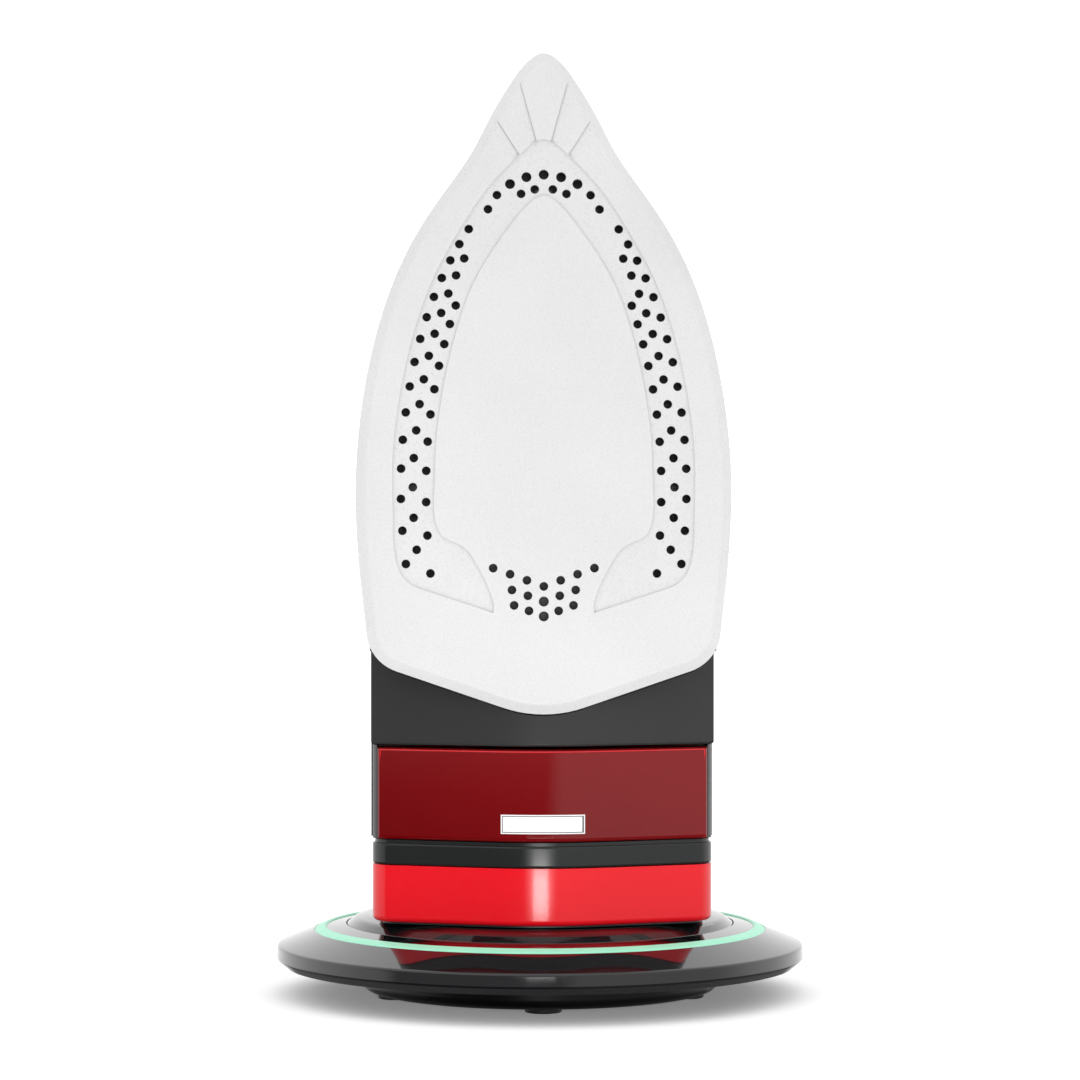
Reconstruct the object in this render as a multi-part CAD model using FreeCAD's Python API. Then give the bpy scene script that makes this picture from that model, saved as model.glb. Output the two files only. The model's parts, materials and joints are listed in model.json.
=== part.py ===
import FreeCAD, Part
import math
import os

# A cordless steam iron standing on its heel on a round powered dock.
# Millimetres. The origin is the underside centre of the dock, +Z runs up the dock's axis and along
# the iron from heel to nose, -Y is the side that the soleplate faces, and the handle is on +Y.

Vector = FreeCAD.Vector

# ---------------------------------------------------------------- driving dimensions
# Dock
DOCK_RADIUS = 87.5
DOCK_RIM_TOP_Z = 16.5
DOCK_RIM_LOW_Z = 12.2
DOCK_UNDER_Z = 9.8
DOCK_SHELL = 2.5
TRAY_RADIUS = 59.5
FOOT_REVEAL = 1.5
FOOT_RADIUS = 6.0
FOOT_RING_RADIUS = 50.0
FOOT_COUNT = 5
RING_INNER_RADIUS = 71.0
RING_WIDTH = 3.9
RING_TOP_Z = 22.3
TURNTABLE_RADIUS = 64.2
TURNTABLE_SEAT_RADIUS = 57.0
SEAT_Z = 26.7
SPIGOT_RADIUS = 13.5
SPIGOT_RISE = 12.8
GLAND_RADIUS = 3.7
CABLE_RADIUS = 2.7

# Iron, outside sizes
SOLE_LENGTH = 210.0
SOLE_WIDTH = 119.5
SOLE_THICKNESS = 6.5
SOLE_FACE_Y = -58.0
SKIRT_DEPTH = 23.1
TANK_DEPTH = 26.0
DECK_THICKNESS = 6.0
HEEL_IN_FROM_SOLE = 4.55
HEEL_CAP_HEIGHT = 18.4
HEEL_BAND_HEIGHT = 6.8
NECK_HEIGHT = 1.1
WINDOW_HEIGHT = 29.5
SOLE_ABOVE_BODY = 40.7
RIDGE_AHEAD = 19.3
RIDGE_RADIUS = 50.0
HEEL_CORNER_Y = -39.5
HEEL_CORNER_RADIUS = 9.0
HEEL_REAR_Y = 56.0

# Walls, seams and fits
SHELL_WALL = 2.5
TANK_WALL = 2.2
SEAM = 0.2
RUNNING = 0.3
SLIDE_FIT = 0.35
PIN_FIT = 0.06
SCREW_FIT = 0.1

# Steam holes and the raised line work of the soleplate
HOLE_RADIUS = 1.4
BIG_HOLE_RADIUS = 1.6
TRACK_DEPTH = 0.7
GROOVE_DEPTH = 0.45
SOLE_BEVEL_WIDE = 3.2
SOLE_BEVEL_DEEP = 2.2

# Controls
DIAL_RADIUS = 23.0
DIAL_HEIGHT = 7.0
DIAL_ALONG = 0.38
SPINDLE_RADIUS = 3.0
TUNNEL_RADIUS = 6.5
BUTTON_TRAVEL = 3.5
BUTTON_HALF_WIDTH = 6.4
BUTTON_HALF_LENGTH = 8.5
BUTTON_GAP = 1.0
PUMP_RADIUS = 6.0
STEM_RADIUS = 2.6
SLIDER_TRAVEL = 9.0
NEEDLE_RADIUS = 1.6
NEEDLE_LIFT = 2.5
DOOR_HALF_WIDTH = 9.0
DOOR_LENGTH = 15.0
DOOR_THICKNESS = 2.6
HINGE_PIN_RADIUS = 0.9

# ---------------------------------------------------------------- levels that follow from them
HEEL_Z = SEAT_Z + RUNNING
CAP_Z = HEEL_Z + 0.7
BAND_Z = CAP_Z + HEEL_CAP_HEIGHT + SEAM
NECK_Z = BAND_Z + HEEL_BAND_HEIGHT
BODY_Z = NECK_Z + NECK_HEIGHT + SEAM
WINDOW_TOP_Z = BODY_Z + WINDOW_HEIGHT
SKIRT_LOW_Z = WINDOW_TOP_Z + 1.0
SOLE_REAR_Z = BODY_Z + SOLE_ABOVE_BODY
NOSE_Z = SOLE_REAR_Z + SOLE_LENGTH

SOLE_BACK_Y = SOLE_FACE_Y + SOLE_THICKNESS
SKIRT_FRONT_Y = SOLE_BACK_Y + SEAM
SEAM_Y = SKIRT_FRONT_Y + SKIRT_DEPTH
TANK_FRONT_Y = SEAM_Y + SEAM
TANK_BACK_Y = TANK_FRONT_Y + TANK_DEPTH
DECK_Y = TANK_BACK_Y + SEAM
DECK_TOP_Y = DECK_Y + DECK_THICKNESS
CASTING_BACK_Y = SOLE_BACK_Y + 9.8
SKIRT_FLOOR_Y = SEAM_Y - SHELL_WALL

SOLE_HALF = SOLE_WIDTH / 2
HEEL_HALF = SOLE_HALF - HEEL_IN_FROM_SOLE
BODY_HALF = SOLE_HALF - 2.6
WINDOW_HALF = HEEL_HALF - 2.1
RIDGE_Y = HEEL_CORNER_Y - RIDGE_AHEAD
UP = Vector(0, 0, 1)
BACK = Vector(0, 1, 0)


def along(share):
    """Height at a share of the body's length, from the top of the heel stack (0) to the nose (1)."""
    return BODY_Z + share * (NOSE_Z - BODY_Z)


DIAL_Z = along(DIAL_ALONG)
VALVE_Z = along(0.72)


# ---------------------------------------------------------------- small tools
def in_plan(z):
    return lambda a, b: Vector(a, b, z)


def in_front(y):
    return lambda a, b: Vector(a, y, b)


def in_side(x):
    return lambda a, b: Vector(x, a, b)


def corner_points(before, here, after, radius):
    """Start, middle and end of the arc that rounds a corner; the corner itself three times if sharp."""
    if radius <= 0:
        return here, here, here
    back = (before - here).normalize()
    ahead = (after - here).normalize()
    half = back.getAngle(ahead) / 2
    cut = radius / math.tan(half)
    middle = here + (back + ahead).normalize() * (radius / math.sin(half) - radius)
    return here + back * cut, middle, here + ahead * cut


def rounded_wire(corners, place):
    """Closed outline of straight runs joined by tangent arcs; each corner is (a, b, radius)."""
    points = [place(a, b) for a, b, _ in corners]
    return path_wire(points, [corner[2] for corner in corners], True)


def path_wire(points, radii, closed=False):
    """Straight runs through the points with rounded corners, open unless closed is set."""
    count = len(points)
    spans = []
    for i, (here, radius) in enumerate(zip(points, radii)):
        if not closed and i in (0, count - 1):
            radius = 0
        spans.append(corner_points(points[i - 1], here, points[(i + 1) % count], radius))
    edges = []
    for i, (start, middle, end) in enumerate(spans):
        if (end - start).Length > 1e-6:
            edges.append(Part.Arc(start, middle, end).toShape())
        nxt = spans[(i + 1) % count][0]
        if (closed or i < count - 1) and (nxt - end).Length > 1e-6:
            edges.append(Part.makeLine(end, nxt))
    return Part.Wire(edges)


def pipe(path, radius):
    """Round bar swept along a path."""
    first = path.OrderedEdges[0]
    start = path.OrderedVertexes[0].Point
    circle = Part.Wire(Part.makeCircle(radius, start, first.tangentAt(first.FirstParameter)))
    return path.makePipeShell([circle], True, False)


def prism(wire, sweep):
    return Part.Face(wire).extrude(sweep)


def plan_prism(corners, z_low, z_high):
    return prism(rounded_wire(corners, in_plan(z_low)), Vector(0, 0, z_high - z_low))


def side_prism(corners, x_low, x_high):
    return prism(rounded_wire(corners, in_side(x_low)), Vector(x_high - x_low, 0, 0))


def front_prism(corners, y_low, y_high):
    return prism(rounded_wire(corners, in_front(y_low)), Vector(0, y_high - y_low, 0))


def block(x0, x1, y0, y1, z0, z1):
    return Part.makeBox(x1 - x0, y1 - y0, z1 - z0, Vector(x0, y0, z0))


def rod(radius, start, axis, length):
    return Part.makeCylinder(radius, length, start, axis)


def turned(profile):
    """Solid of revolution about the dock's axis from (radius, z) or (radius, z, rounding) corners."""
    corners = [(p[0], p[1], p[2] if len(p) > 2 else 0) for p in profile]
    face = Part.Face(rounded_wire(corners, in_front(0)))
    return face.revolve(Vector(0, 0, 0), UP, 360)


def spline_edge(points, start_tangent=None, end_tangent=None):
    curve = Part.BSplineCurve()
    if start_tangent is None:
        curve.interpolate(Points=points)
    else:
        curve.interpolate(Points=points, InitialTangent=start_tangent, FinalTangent=end_tangent)
    return curve.toShape()


def mirrored(points):
    return [Vector(-p.x, p.y, p.z) for p in points]


def both_sides(shape):
    return Part.makeCompound([shape, shape.mirror(Vector(0, 0, 0), Vector(1, 0, 0))])


def try_fillet(shape, radius, edges):
    """Rounds the edges, or keeps the sharp shape where the kernel can't round them."""
    try:
        result = shape.makeFillet(radius, edges)
        if result.isValid() and result.Volume > 0:
            return result
    except Exception:
        pass
    return shape


# ---------------------------------------------------------------- the soleplate's outline
# Each point is (share of the half width, share of the length from the nose).
SOLE_SIDE = [
    (0.082, 0.0119), (0.167, 0.0419), (0.295, 0.1029), (0.377, 0.1481), (0.484, 0.1933),
    (0.633, 0.2538), (0.797, 0.3448), (0.899, 0.4352), (0.977, 0.5567), (1.0, 0.6714),
    (0.972, 0.7986), (0.9465, 0.862),
]
SOLE_CORNER = (0.9255, 0.9205)
SOLE_CORNER_RADIUS = 14.0
SOLE_REAR_RADIUS = 40.0
SOLE_REAR_SLOPE = math.tan(math.radians(18.9))


def on_sole(point, y, inset=0.0):
    """Place of a share point; inset draws the whole outline in by about that much."""
    width_share, length_share = point
    top = NOSE_Z - inset * 1.5
    length = SOLE_LENGTH - inset * 2.3
    return Vector(width_share * (SOLE_HALF - inset), y, top - length_share * length)


def sole_wire(y, inset=0.0):
    """Nose and sides as one spline, then the rounded rear corners and the blunt V of the rear."""
    side = [on_sole(p, y, inset) for p in SOLE_SIDE]
    corner = on_sole(SOLE_CORNER, y, inset)
    down = (corner - side[-1]).normalize()
    upward = Vector(down.x, 0, -down.z)
    points = mirrored(side)[::-1] + [on_sole((0, 0), y, inset)] + side
    nose = spline_edge(points, upward, down)
    vertex = Vector(0, y, corner.z - corner.x * SOLE_REAR_SLOPE)
    ends = mirrored([corner, side[-1]])
    radius = max(SOLE_CORNER_RADIUS - inset, 3.0)
    rear = path_wire([side[-1], corner, vertex] + ends, [0, radius, SOLE_REAR_RADIUS, radius, 0])
    return Part.Wire([nose] + rear.OrderedEdges)


def sole_prism(inset, y_low, y_high):
    """The soleplate's outline drawn in by inset, between two depths."""
    return prism(sole_wire(y_low, inset), Vector(0, y_high - y_low, 0))


# ---------------------------------------------------------------- the body's outlines
# Rows of (share of the body's half width, share of the body's length), nose first.
# Level -1 is the sole side, 0 the seam between skirt and tank, 1 the deck.
BODY_ROWS = {
    -1: [(0, 0.9925), (0.077, 0.9816), (0.22, 0.943), (0.385, 0.870), (0.63, 0.790),
         (0.84, 0.696), (0.962, 0.581), (1.018, 0.453), (0.997, 0.3295), (0.966, 0.23)],
    0: [(0, 0.9637), (0.105, 0.944), (0.262, 0.888), (0.42, 0.828), (0.63, 0.752),
        (0.822, 0.653), (0.945, 0.541), (1.0, 0.437), (0.98, 0.30), (0.935, 0.19)],
    1: [(0, 0.86), (0.14, 0.842), (0.29, 0.80), (0.43, 0.74), (0.56, 0.669),
        (0.69, 0.565), (0.775, 0.46), (0.825, 0.36), (0.85, 0.27), (0.857, 0.19)],
}
BULGE = 1.6


def body_row(level):
    """Outline shares between two rows; the sides bulge before they draw in to the deck."""
    low = -1 if level < 0 else 0
    share = level - low
    eased = share ** BULGE if low == 0 else share
    return [
        (a[0] + (b[0] - a[0]) * eased, a[1] + (b[1] - a[1]) * eased)
        for a, b in zip(BODY_ROWS[low], BODY_ROWS[low + 1])
    ]


def body_wire(level, y, inset=0.0):
    """The body's outline at a level, drawn in by inset, ending in a straight bottom at the heel."""
    nose_share = 1 - inset / (NOSE_Z - BODY_Z)
    side = [
        Vector(w * (BODY_HALF - inset), y, along(s * nose_share)) for w, s in body_row(level)
    ]
    foot = Vector(side[-1].x, y, BODY_Z + inset)
    points = mirrored(side[1:])[::-1] + side
    nose = spline_edge(points, UP, UP * -1)
    corners = [side[-1], foot, Vector(-foot.x, y, foot.z), Vector(-side[-1].x, y, side[-1].z)]
    runs = [Part.makeLine(a, b) for a, b in zip(corners, corners[1:])]
    return Part.Wire([nose] + runs)


def depth_of(level):
    """Depth of a level between the skirt's front (-1), the seam (0) and the deck (1)."""
    return TANK_FRONT_Y + level * TANK_DEPTH if level > 0 else SEAM_Y + level * SKIRT_DEPTH


def body_loft(level_low, level_high, inset=0.0, y_low=None, y_high=None):
    """The body between two levels, drawn in by inset, its two ends placed at other depths if given."""
    low = depth_of(level_low) if y_low is None else y_low
    high = depth_of(level_high) if y_high is None else y_high
    wires = []
    for step in range(4):
        share = step / 3
        level = level_low + (level_high - level_low) * share
        wires.append(body_wire(level, low + (high - low) * share, inset))
    return Part.makeLoft(wires, True, False)


def heel_plan(inset=0.0):
    """The heel's outline from above: a ridge in front, two corners and a rounded rear."""
    half = HEEL_HALF - inset
    return [
        (0, RIDGE_Y + inset * 1.1, RIDGE_RADIUS),
        (half, HEEL_CORNER_Y + inset * 0.7, max(HEEL_CORNER_RADIUS - inset, 3)),
        (half - 3.7, 22, 20),
        (33 - inset * 0.6, HEEL_REAR_Y - inset, 14),
        (-33 + inset * 0.6, HEEL_REAR_Y - inset, 14),
        (3.7 - half, 22, 20),
        (-half, HEEL_CORNER_Y + inset * 0.7, max(HEEL_CORNER_RADIUS - inset, 3)),
    ]


def front_plan(half, inset, back_y):
    """The V of the body's front below the soleplate, from the ridge back to a flat."""
    drop = (HEEL_HALF - half) * RIDGE_AHEAD / HEEL_HALF
    corner_y = HEEL_CORNER_Y - drop + inset
    return [
        (0, RIDGE_Y + inset * 1.1, RIDGE_RADIUS),
        (half, corner_y, 0),
        (half, back_y, 0),
        (-half, back_y, 0),
        (-half, corner_y, 0),
    ]


# ---------------------------------------------------------------- the handle's path
# Each station is (y above the deck, share along the body, direction y, direction z,
# half depth, half width inside, half width outside, corner radius).
STATIONS = [
    (25.6, 0.0, 0.0, 1.0, 24.5, 48.5, 30.0, 9.0),
    (27.8, 0.070, 0.10, 0.99, 24.5, 43.5, 28.0, 9.0),
    (33.0, 0.115, 0.33, 0.94, 22.6, 37.0, 25.0, 9.0),
    (42.5, 0.165, 0.52, 0.85, 19.6, 29.0, 21.5, 9.0),
    (56.0, 0.250, 0.30, 0.95, 16.5, 20.5, 18.0, 9.0),
    (62.5, 0.370, 0.05, 1.00, 15.5, 18.0, 17.5, 9.5),
    (63.5, 0.500, -0.02, 1.00, 15.5, 18.0, 17.5, 9.5),
    (58.0, 0.629, -0.25, 0.97, 16.5, 19.5, 18.0, 9.0),
    (44.0, 0.730, -0.70, 0.71, 20.5, 22.0, 18.0, 8.0),
    (22.0, 0.745, -0.97, 0.20, 23.5, 25.0, 15.5, 5.0),
    (0.0, 0.722, -1.0, 0.0, 23.5, 26.0, 12.5, 4.0),
]


class Station:
    """A place on the handle's path: its centre, its direction, its outward normal and its section."""

    def __init__(self, t):
        i = min(int(t), len(STATIONS) - 2)
        share = t - i
        values = [a + (b - a) * share for a, b in zip(STATIONS[i], STATIONS[i + 1])]
        rise, place, dir_y, dir_z, *sizes = values
        self.half_depth, self.inside, self.outside, self.radius = sizes
        self.centre = Vector(0, DECK_TOP_Y + SEAM + rise, along(place))
        self.direction = Vector(0, dir_y, dir_z).normalize()
        self.out = Vector(0, self.direction.z, -self.direction.y)

    def point(self, x, out, forward=0.0):
        return self.centre + Vector(x, 0, 0) + self.out * out + self.direction * forward

    def section(self, inset=0.0):
        """Rounded trapezium, wide on the finger side."""
        depth = self.half_depth - inset
        radius = max(self.radius - inset, 1.0)
        corners = [
            (self.inside - inset, -depth, radius),
            (self.outside - inset, depth, radius),
            (inset - self.outside, depth, radius),
            (inset - self.inside, -depth, radius),
        ]
        return rounded_wire(corners, self.point)

    def strip(self, margin):
        """Section of a band that takes the whole outer wall of the handle between its two sides."""
        half = self.outside - margin
        low, high = self.half_depth - 8, self.half_depth + 10
        return rounded_wire([(half, low, 0), (half, high, 0), (-half, high, 0), (-half, low, 0)], self.point)


def handle_loft(inset=0.0):
    """The whole handle; a hollow drawn in by inset runs out a little past both ends."""
    stations = [Station(t) for t in range(len(STATIONS))]
    wires = [station.section(inset) for station in stations]
    if inset:
        wires[0].translate(stations[0].direction * -1.5)
        wires[-1].translate(stations[-1].direction * 1.5)
    return Part.makeLoft(wires, True, False)


def strip_loft(span, margin, lengthen=0.0):
    low, high = span[0] - lengthen, span[1] + lengthen
    stops = [low + (high - low) * i / 8 for i in range(9)]
    return Part.makeLoft([Station(t).strip(margin) for t in stops], True, False)


COVER_SPAN = (0.9, 6.35)
PANEL_SPAN = (6.36, 8.25)
INLAY_MARGIN = 3.6
BUTTON_AT = Station(7.0)
SLIDER_AT = Station(7.72)
BUTTON_X = BUTTON_GAP / 2 + BUTTON_HALF_WIDTH


# ---------------------------------------------------------------- dock
SPIGOT_TOP_Z = SEAT_Z + SPIGOT_RISE
WELL_Z = DOCK_RIM_TOP_Z + 3.2
HUB_RADIUS = SPIGOT_RADIUS + 3.5
RING_OUTER_RADIUS = RING_INNER_RADIUS + RING_WIDTH
RING_DROP = 0.9
GLAND_Z = DOCK_UNDER_Z - 4.15


def dock_cover():
    """Glossy top shell: a low cone with a groove for the light ring and a well for the turntable."""
    well_radius = TURNTABLE_RADIUS + RUNNING
    groove_in = RING_INNER_RADIUS - 0.1
    groove_out = RING_OUTER_RADIUS + 0.1
    outside = [
        (HUB_RADIUS, WELL_Z), (well_radius, WELL_Z), (well_radius, RING_TOP_Z + 1.1),
        (groove_in, RING_TOP_Z), (groove_in, RING_TOP_Z - 2.2), (groove_out, RING_TOP_Z - 2.2),
        (groove_out, RING_TOP_Z - RING_DROP), (DOCK_RADIUS - 0.2, DOCK_RIM_TOP_Z, 1.2),
        (DOCK_RADIUS, DOCK_RIM_LOW_Z, 1.0),
        (DOCK_RADIUS - 2.6, DOCK_UNDER_Z),
    ]
    inside = [
        (DOCK_RADIUS - 2.6 - DOCK_SHELL, DOCK_UNDER_Z),
        (DOCK_RADIUS - 2.6 - DOCK_SHELL, DOCK_RIM_TOP_Z - DOCK_SHELL),
        (groove_out + 0.5, WELL_Z - DOCK_SHELL), (HUB_RADIUS, WELL_Z - DOCK_SHELL),
    ]
    return turned(outside + inside)


def dock_tray():
    """Lower housing: a flat annulus under the rim, stepping down to a round pan with foot pockets."""
    pan_wall = TRAY_RADIUS - DOCK_SHELL
    seat = DOCK_RADIUS - 2.6 - DOCK_SHELL - 0.2
    top = DOCK_UNDER_Z + 2.4
    tray = turned([
        (0, FOOT_REVEAL), (TRAY_RADIUS, FOOT_REVEAL, 3.2), (TRAY_RADIUS, DOCK_UNDER_Z - 2.4), (seat, DOCK_UNDER_Z),
        (seat, top), (pan_wall, top - 1.8), (pan_wall, FOOT_REVEAL + DOCK_SHELL),
        (0, FOOT_REVEAL + DOCK_SHELL),
    ])
    for x, y in spots(FOOT_COUNT, FOOT_RING_RADIUS, 54):
        tray = tray.cut(rod(FOOT_RADIUS + 0.1, Vector(x, y, 0), UP, FOOT_REVEAL + 1.0))
    for x, y in spots(4, DOCK_SCREW_RING, 45):
        boss = rod(4.2, Vector(x, y, FOOT_REVEAL), UP, WELL_Z - DOCK_SHELL - FOOT_REVEAL)
        tray = tray.fuse(boss)
    for x, y in spots(4, DOCK_SCREW_RING, 45):
        tray = tray.cut(rod(2.9, Vector(x, y, 0), UP, FOOT_REVEAL + 2.0))
        tray = tray.cut(rod(SCREW_RADIUS + SCREW_FIT, Vector(x, y, 0), UP, WELL_Z - 1.0))
    return tray.cut(rod(GLAND_RADIUS, Vector(0, pan_wall - 3, GLAND_Z), BACK, 20)).removeSplitter()


DOCK_SCREW_RING = 33.0
SCREW_RADIUS = 1.6


def spots(count, radius, first=0.0):
    """Evenly spaced places on a circle about the dock's axis."""
    turns = [math.radians(first + 360 * i / count) for i in range(count)]
    return [(radius * math.cos(a), radius * math.sin(a)) for a in turns]


def dock_feet():
    feet = [
        rod(FOOT_RADIUS, Vector(x, y, 0), UP, FOOT_REVEAL + 1.0)
        for x, y in spots(FOOT_COUNT, FOOT_RING_RADIUS, 54)
    ]
    return Part.makeCompound([try_fillet(f, 0.5, [f.Edges[2]]) for f in feet])


def dock_screws():
    screws = []
    for x, y in spots(4, DOCK_SCREW_RING, 45):
        head = rod(2.7, Vector(x, y, FOOT_REVEAL + 0.4), UP, 1.6)
        shank = rod(SCREW_RADIUS, Vector(x, y, FOOT_REVEAL + 1.9), UP, 12.0)
        slot = block(x - 0.4, x + 0.4, y - 1.9, y + 1.9, FOOT_REVEAL, FOOT_REVEAL + 1.1)
        screws.append(head.fuse(shank).cut(slot))
    return Part.makeCompound(screws)


def light_ring():
    """Clear diffuser lying in the cover's groove, its crown a little proud of the cone."""
    base_z = RING_TOP_Z - 2.2
    return turned([
        (RING_INNER_RADIUS, base_z), (RING_OUTER_RADIUS, base_z),
        (RING_OUTER_RADIUS, RING_TOP_Z - RING_DROP - 0.1),
        (RING_OUTER_RADIUS - 0.8, RING_TOP_Z - RING_DROP + 0.45),
        (RING_INNER_RADIUS + 0.7, RING_TOP_Z + 0.45), (RING_INNER_RADIUS, RING_TOP_Z + 0.1),
    ])


def led_board():
    """Ring-shaped circuit board on the underside of the well, with its lamps under the diffuser."""
    low = DOCK_UNDER_Z + 2.6
    board = turned([(62, low), (78, low), (78, low + 1.2), (62, low + 1.2)])
    lamps = []
    for x, y in spots(12, RING_INNER_RADIUS + RING_WIDTH / 2, 15):
        lamps.append(block(x - 1.3, x + 1.3, y - 1.3, y + 1.3, low + 1.2, low + 2.4))
    return board.fuse(lamps)


def cord_gland():
    """Rubber bush in the tray's rear wall, through which the mains lead would leave."""
    start = Vector(0, TRAY_RADIUS - DOCK_SHELL - 2.6, GLAND_Z)
    bush = rod(GLAND_RADIUS - 0.05, start, BACK, 9.6)
    return bush.cut(rod(CABLE_RADIUS, start - BACK, BACK, 20))


def turntable():
    """The raised disc that the heel stands on. It turns in the cover's well about the hub."""
    edge_z = SEAT_Z - 3.4
    foot_z = WELL_Z + 0.1
    disc = turned([
        (HUB_RADIUS + RUNNING, SEAT_Z - 2.4), (50, SEAT_Z - 2.4), (50, foot_z), (53, foot_z),
        (53, SEAT_Z - 2.8), (TURNTABLE_RADIUS - 2.6, edge_z - 1.6), (TURNTABLE_RADIUS, edge_z - 1.6),
        (TURNTABLE_RADIUS, edge_z, 0.6), (61.2, SEAT_Z - 1.1, 4), (TURNTABLE_SEAT_RADIUS, SEAT_Z, 8),
        (HUB_RADIUS + RUNNING, SEAT_Z),
    ])
    return disc


def dock_spigot():
    """Fixed round connector that rises through the turntable: a collar, a crown and contact slots."""
    low = WELL_Z - DOCK_SHELL
    spigot = turned([
        (0, low - 5), (HUB_RADIUS + 3, low - 5), (HUB_RADIUS + 3, low - 0.1),
        (HUB_RADIUS - 0.1, low - 0.1), (HUB_RADIUS - 0.1, SEAT_Z - 3.0), (SPIGOT_RADIUS, SEAT_Z - 1.4),
        (SPIGOT_RADIUS, SPIGOT_TOP_Z, 1.4), (9.6, SPIGOT_TOP_Z),
        (9.6, low + 2), (7.6, low + 2), (7.6, SPIGOT_TOP_Z), (4.4, SPIGOT_TOP_Z), (4.4, low + 2),
        (0, low + 2),
    ])
    return spigot


def dock_contacts():
    """Brass centre pin and ring of the round connector."""
    low = WELL_Z - DOCK_SHELL + 2.0
    pin = rod(2.4, Vector(0, 0, low), UP, SPIGOT_TOP_Z - low - 2.0)
    pin = try_fillet(pin, 1.2, [pin.Edges[0]])
    ring = turned([(8.1, low), (9.1, low), (9.1, SPIGOT_TOP_Z - 2.5), (8.1, SPIGOT_TOP_Z - 2.5)])
    return Part.makeCompound([pin, ring])


# ---------------------------------------------------------------- heel
SOCKET_RADIUS = SPIGOT_RADIUS + 1.0
SOCKET_ROOF_Z = SPIGOT_TOP_Z + 1.5
SOCKET_WALL = 3.0


def heel_plate():
    """Black sole of the heel, set in a little from the cap, with the socket's mouth."""
    plate = plan_prism(heel_plan(2.6), HEEL_Z, CAP_Z + 2.4)
    ledge = plan_prism(heel_plan(SHELL_WALL + 0.2), CAP_Z + 0.9, CAP_Z + 2.4)
    lower = plan_prism(heel_plan(3.4), HEEL_Z, CAP_Z + 1.0)
    plate = lower.fuse(ledge).common(plate.fuse(ledge))
    mouth = turned([
        (0, HEEL_Z - 1), (SOCKET_RADIUS + 3.2, HEEL_Z - 1), (SOCKET_RADIUS + 1.0, HEEL_Z + 1.4),
        (SOCKET_RADIUS + 1.0, CAP_Z + 3), (0, CAP_Z + 3),
    ])
    for x, y in HEEL_SCREWS:
        plate = plate.cut(rod(2.9, Vector(x, y, HEEL_Z - 1), UP, 2.6))
        plate = plate.cut(rod(SCREW_RADIUS + SCREW_FIT, Vector(x, y, HEEL_Z - 1), UP, 8))
    return plate.cut(mouth)


HEEL_SCREWS = [(34, -24), (-34, -24), (30, 34), (-30, 34)]


def heel_cap():
    """Glossy red foot of the iron: a deep hollow band with its own floor ledge and screw posts."""
    outer = plan_prism(heel_plan(), CAP_Z, CAP_Z + HEEL_CAP_HEIGHT)
    low = [e for e in outer.Edges if e.BoundBox.ZMax < CAP_Z + 0.01]
    outer = try_fillet(outer, 1.8, low)
    hollow = plan_prism(heel_plan(SHELL_WALL), CAP_Z - 1, CAP_Z + HEEL_CAP_HEIGHT + 1)
    cap = outer.cut(hollow)
    ledge = plan_prism(heel_plan(SHELL_WALL - 0.1), CAP_Z + 2.6, CAP_Z + 4.4)
    ledge = ledge.cut(plan_prism(heel_plan(SHELL_WALL + 3.0), CAP_Z, CAP_Z + 8))
    cap = cap.fuse(ledge)
    for x, y in HEEL_SCREWS:
        post = rod(4.4, Vector(x, y, CAP_Z + 2.6), UP, HEEL_CAP_HEIGHT - 2.6)
        rib_x = (abs(x), HEEL_HALF - 2.0)
        rib = block(*rib_x, y - 1, y + 1, CAP_Z + 2.6, CAP_Z + HEEL_CAP_HEIGHT - 4)
        if x < 0:
            rib = rib.mirror(Vector(0, 0, 0), Vector(1, 0, 0))
        cap = cap.fuse([post, rib.common(plan_prism(heel_plan(0.5), CAP_Z, CAP_Z + 30))])
    for x, y in HEEL_SCREWS:
        bore = rod(SCREW_RADIUS + SCREW_FIT, Vector(x, y, CAP_Z), UP, HEEL_CAP_HEIGHT + 1)
        cap = cap.cut(bore)
    return cap


def heel_screws():
    screws = []
    for x, y in HEEL_SCREWS:
        head = rod(2.7, Vector(x, y, HEEL_Z + 0.3), UP, 1.3)
        shank = rod(SCREW_RADIUS, Vector(x, y, HEEL_Z + 1.5), UP, 14.0)
        slot = block(x - 0.4, x + 0.4, y - 1.9, y + 1.9, HEEL_Z, HEEL_Z + 0.9)
        screws.append(head.fuse(shank).cut(slot))
    return Part.makeCompound(screws)


def heel_socket():
    """Round female connector above the heel plate, flanged on the plate's upper face."""
    flange_z = CAP_Z + 2.4
    low = flange_z
    outer = SOCKET_RADIUS + SOCKET_WALL
    top = SOCKET_ROOF_Z + 2.0
    return turned([
        (SOCKET_RADIUS, low), (outer + 4, low), (outer + 4, low + 2), (outer, low + 2),
        (outer, top), (0, top), (0, SOCKET_ROOF_Z), (SOCKET_RADIUS, SOCKET_ROOF_Z),
    ])


def socket_contacts():
    """Brass sleeve and centre cup that meet the dock's contacts."""
    roof = SOCKET_ROOF_Z
    cup = turned([
        (2.8, roof - 5), (3.6, roof - 5), (3.6, roof), (0, roof), (0, roof - 0.8), (2.8, roof - 0.8),
    ])
    blades = []
    for angle in (90, 270):
        blade = block(8.4, 8.9, -1.5, 1.5, roof - 3.4, roof)
        blades.append(blade.rotated(Vector(0, 0, 0), UP, angle))
    tabs = [block(x - 0.4, x + 0.4, -3, 3, roof + 2.0, roof + 2.8) for x in (-8, 0, 8)]
    return Part.makeCompound([cup] + blades + tabs)


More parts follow.
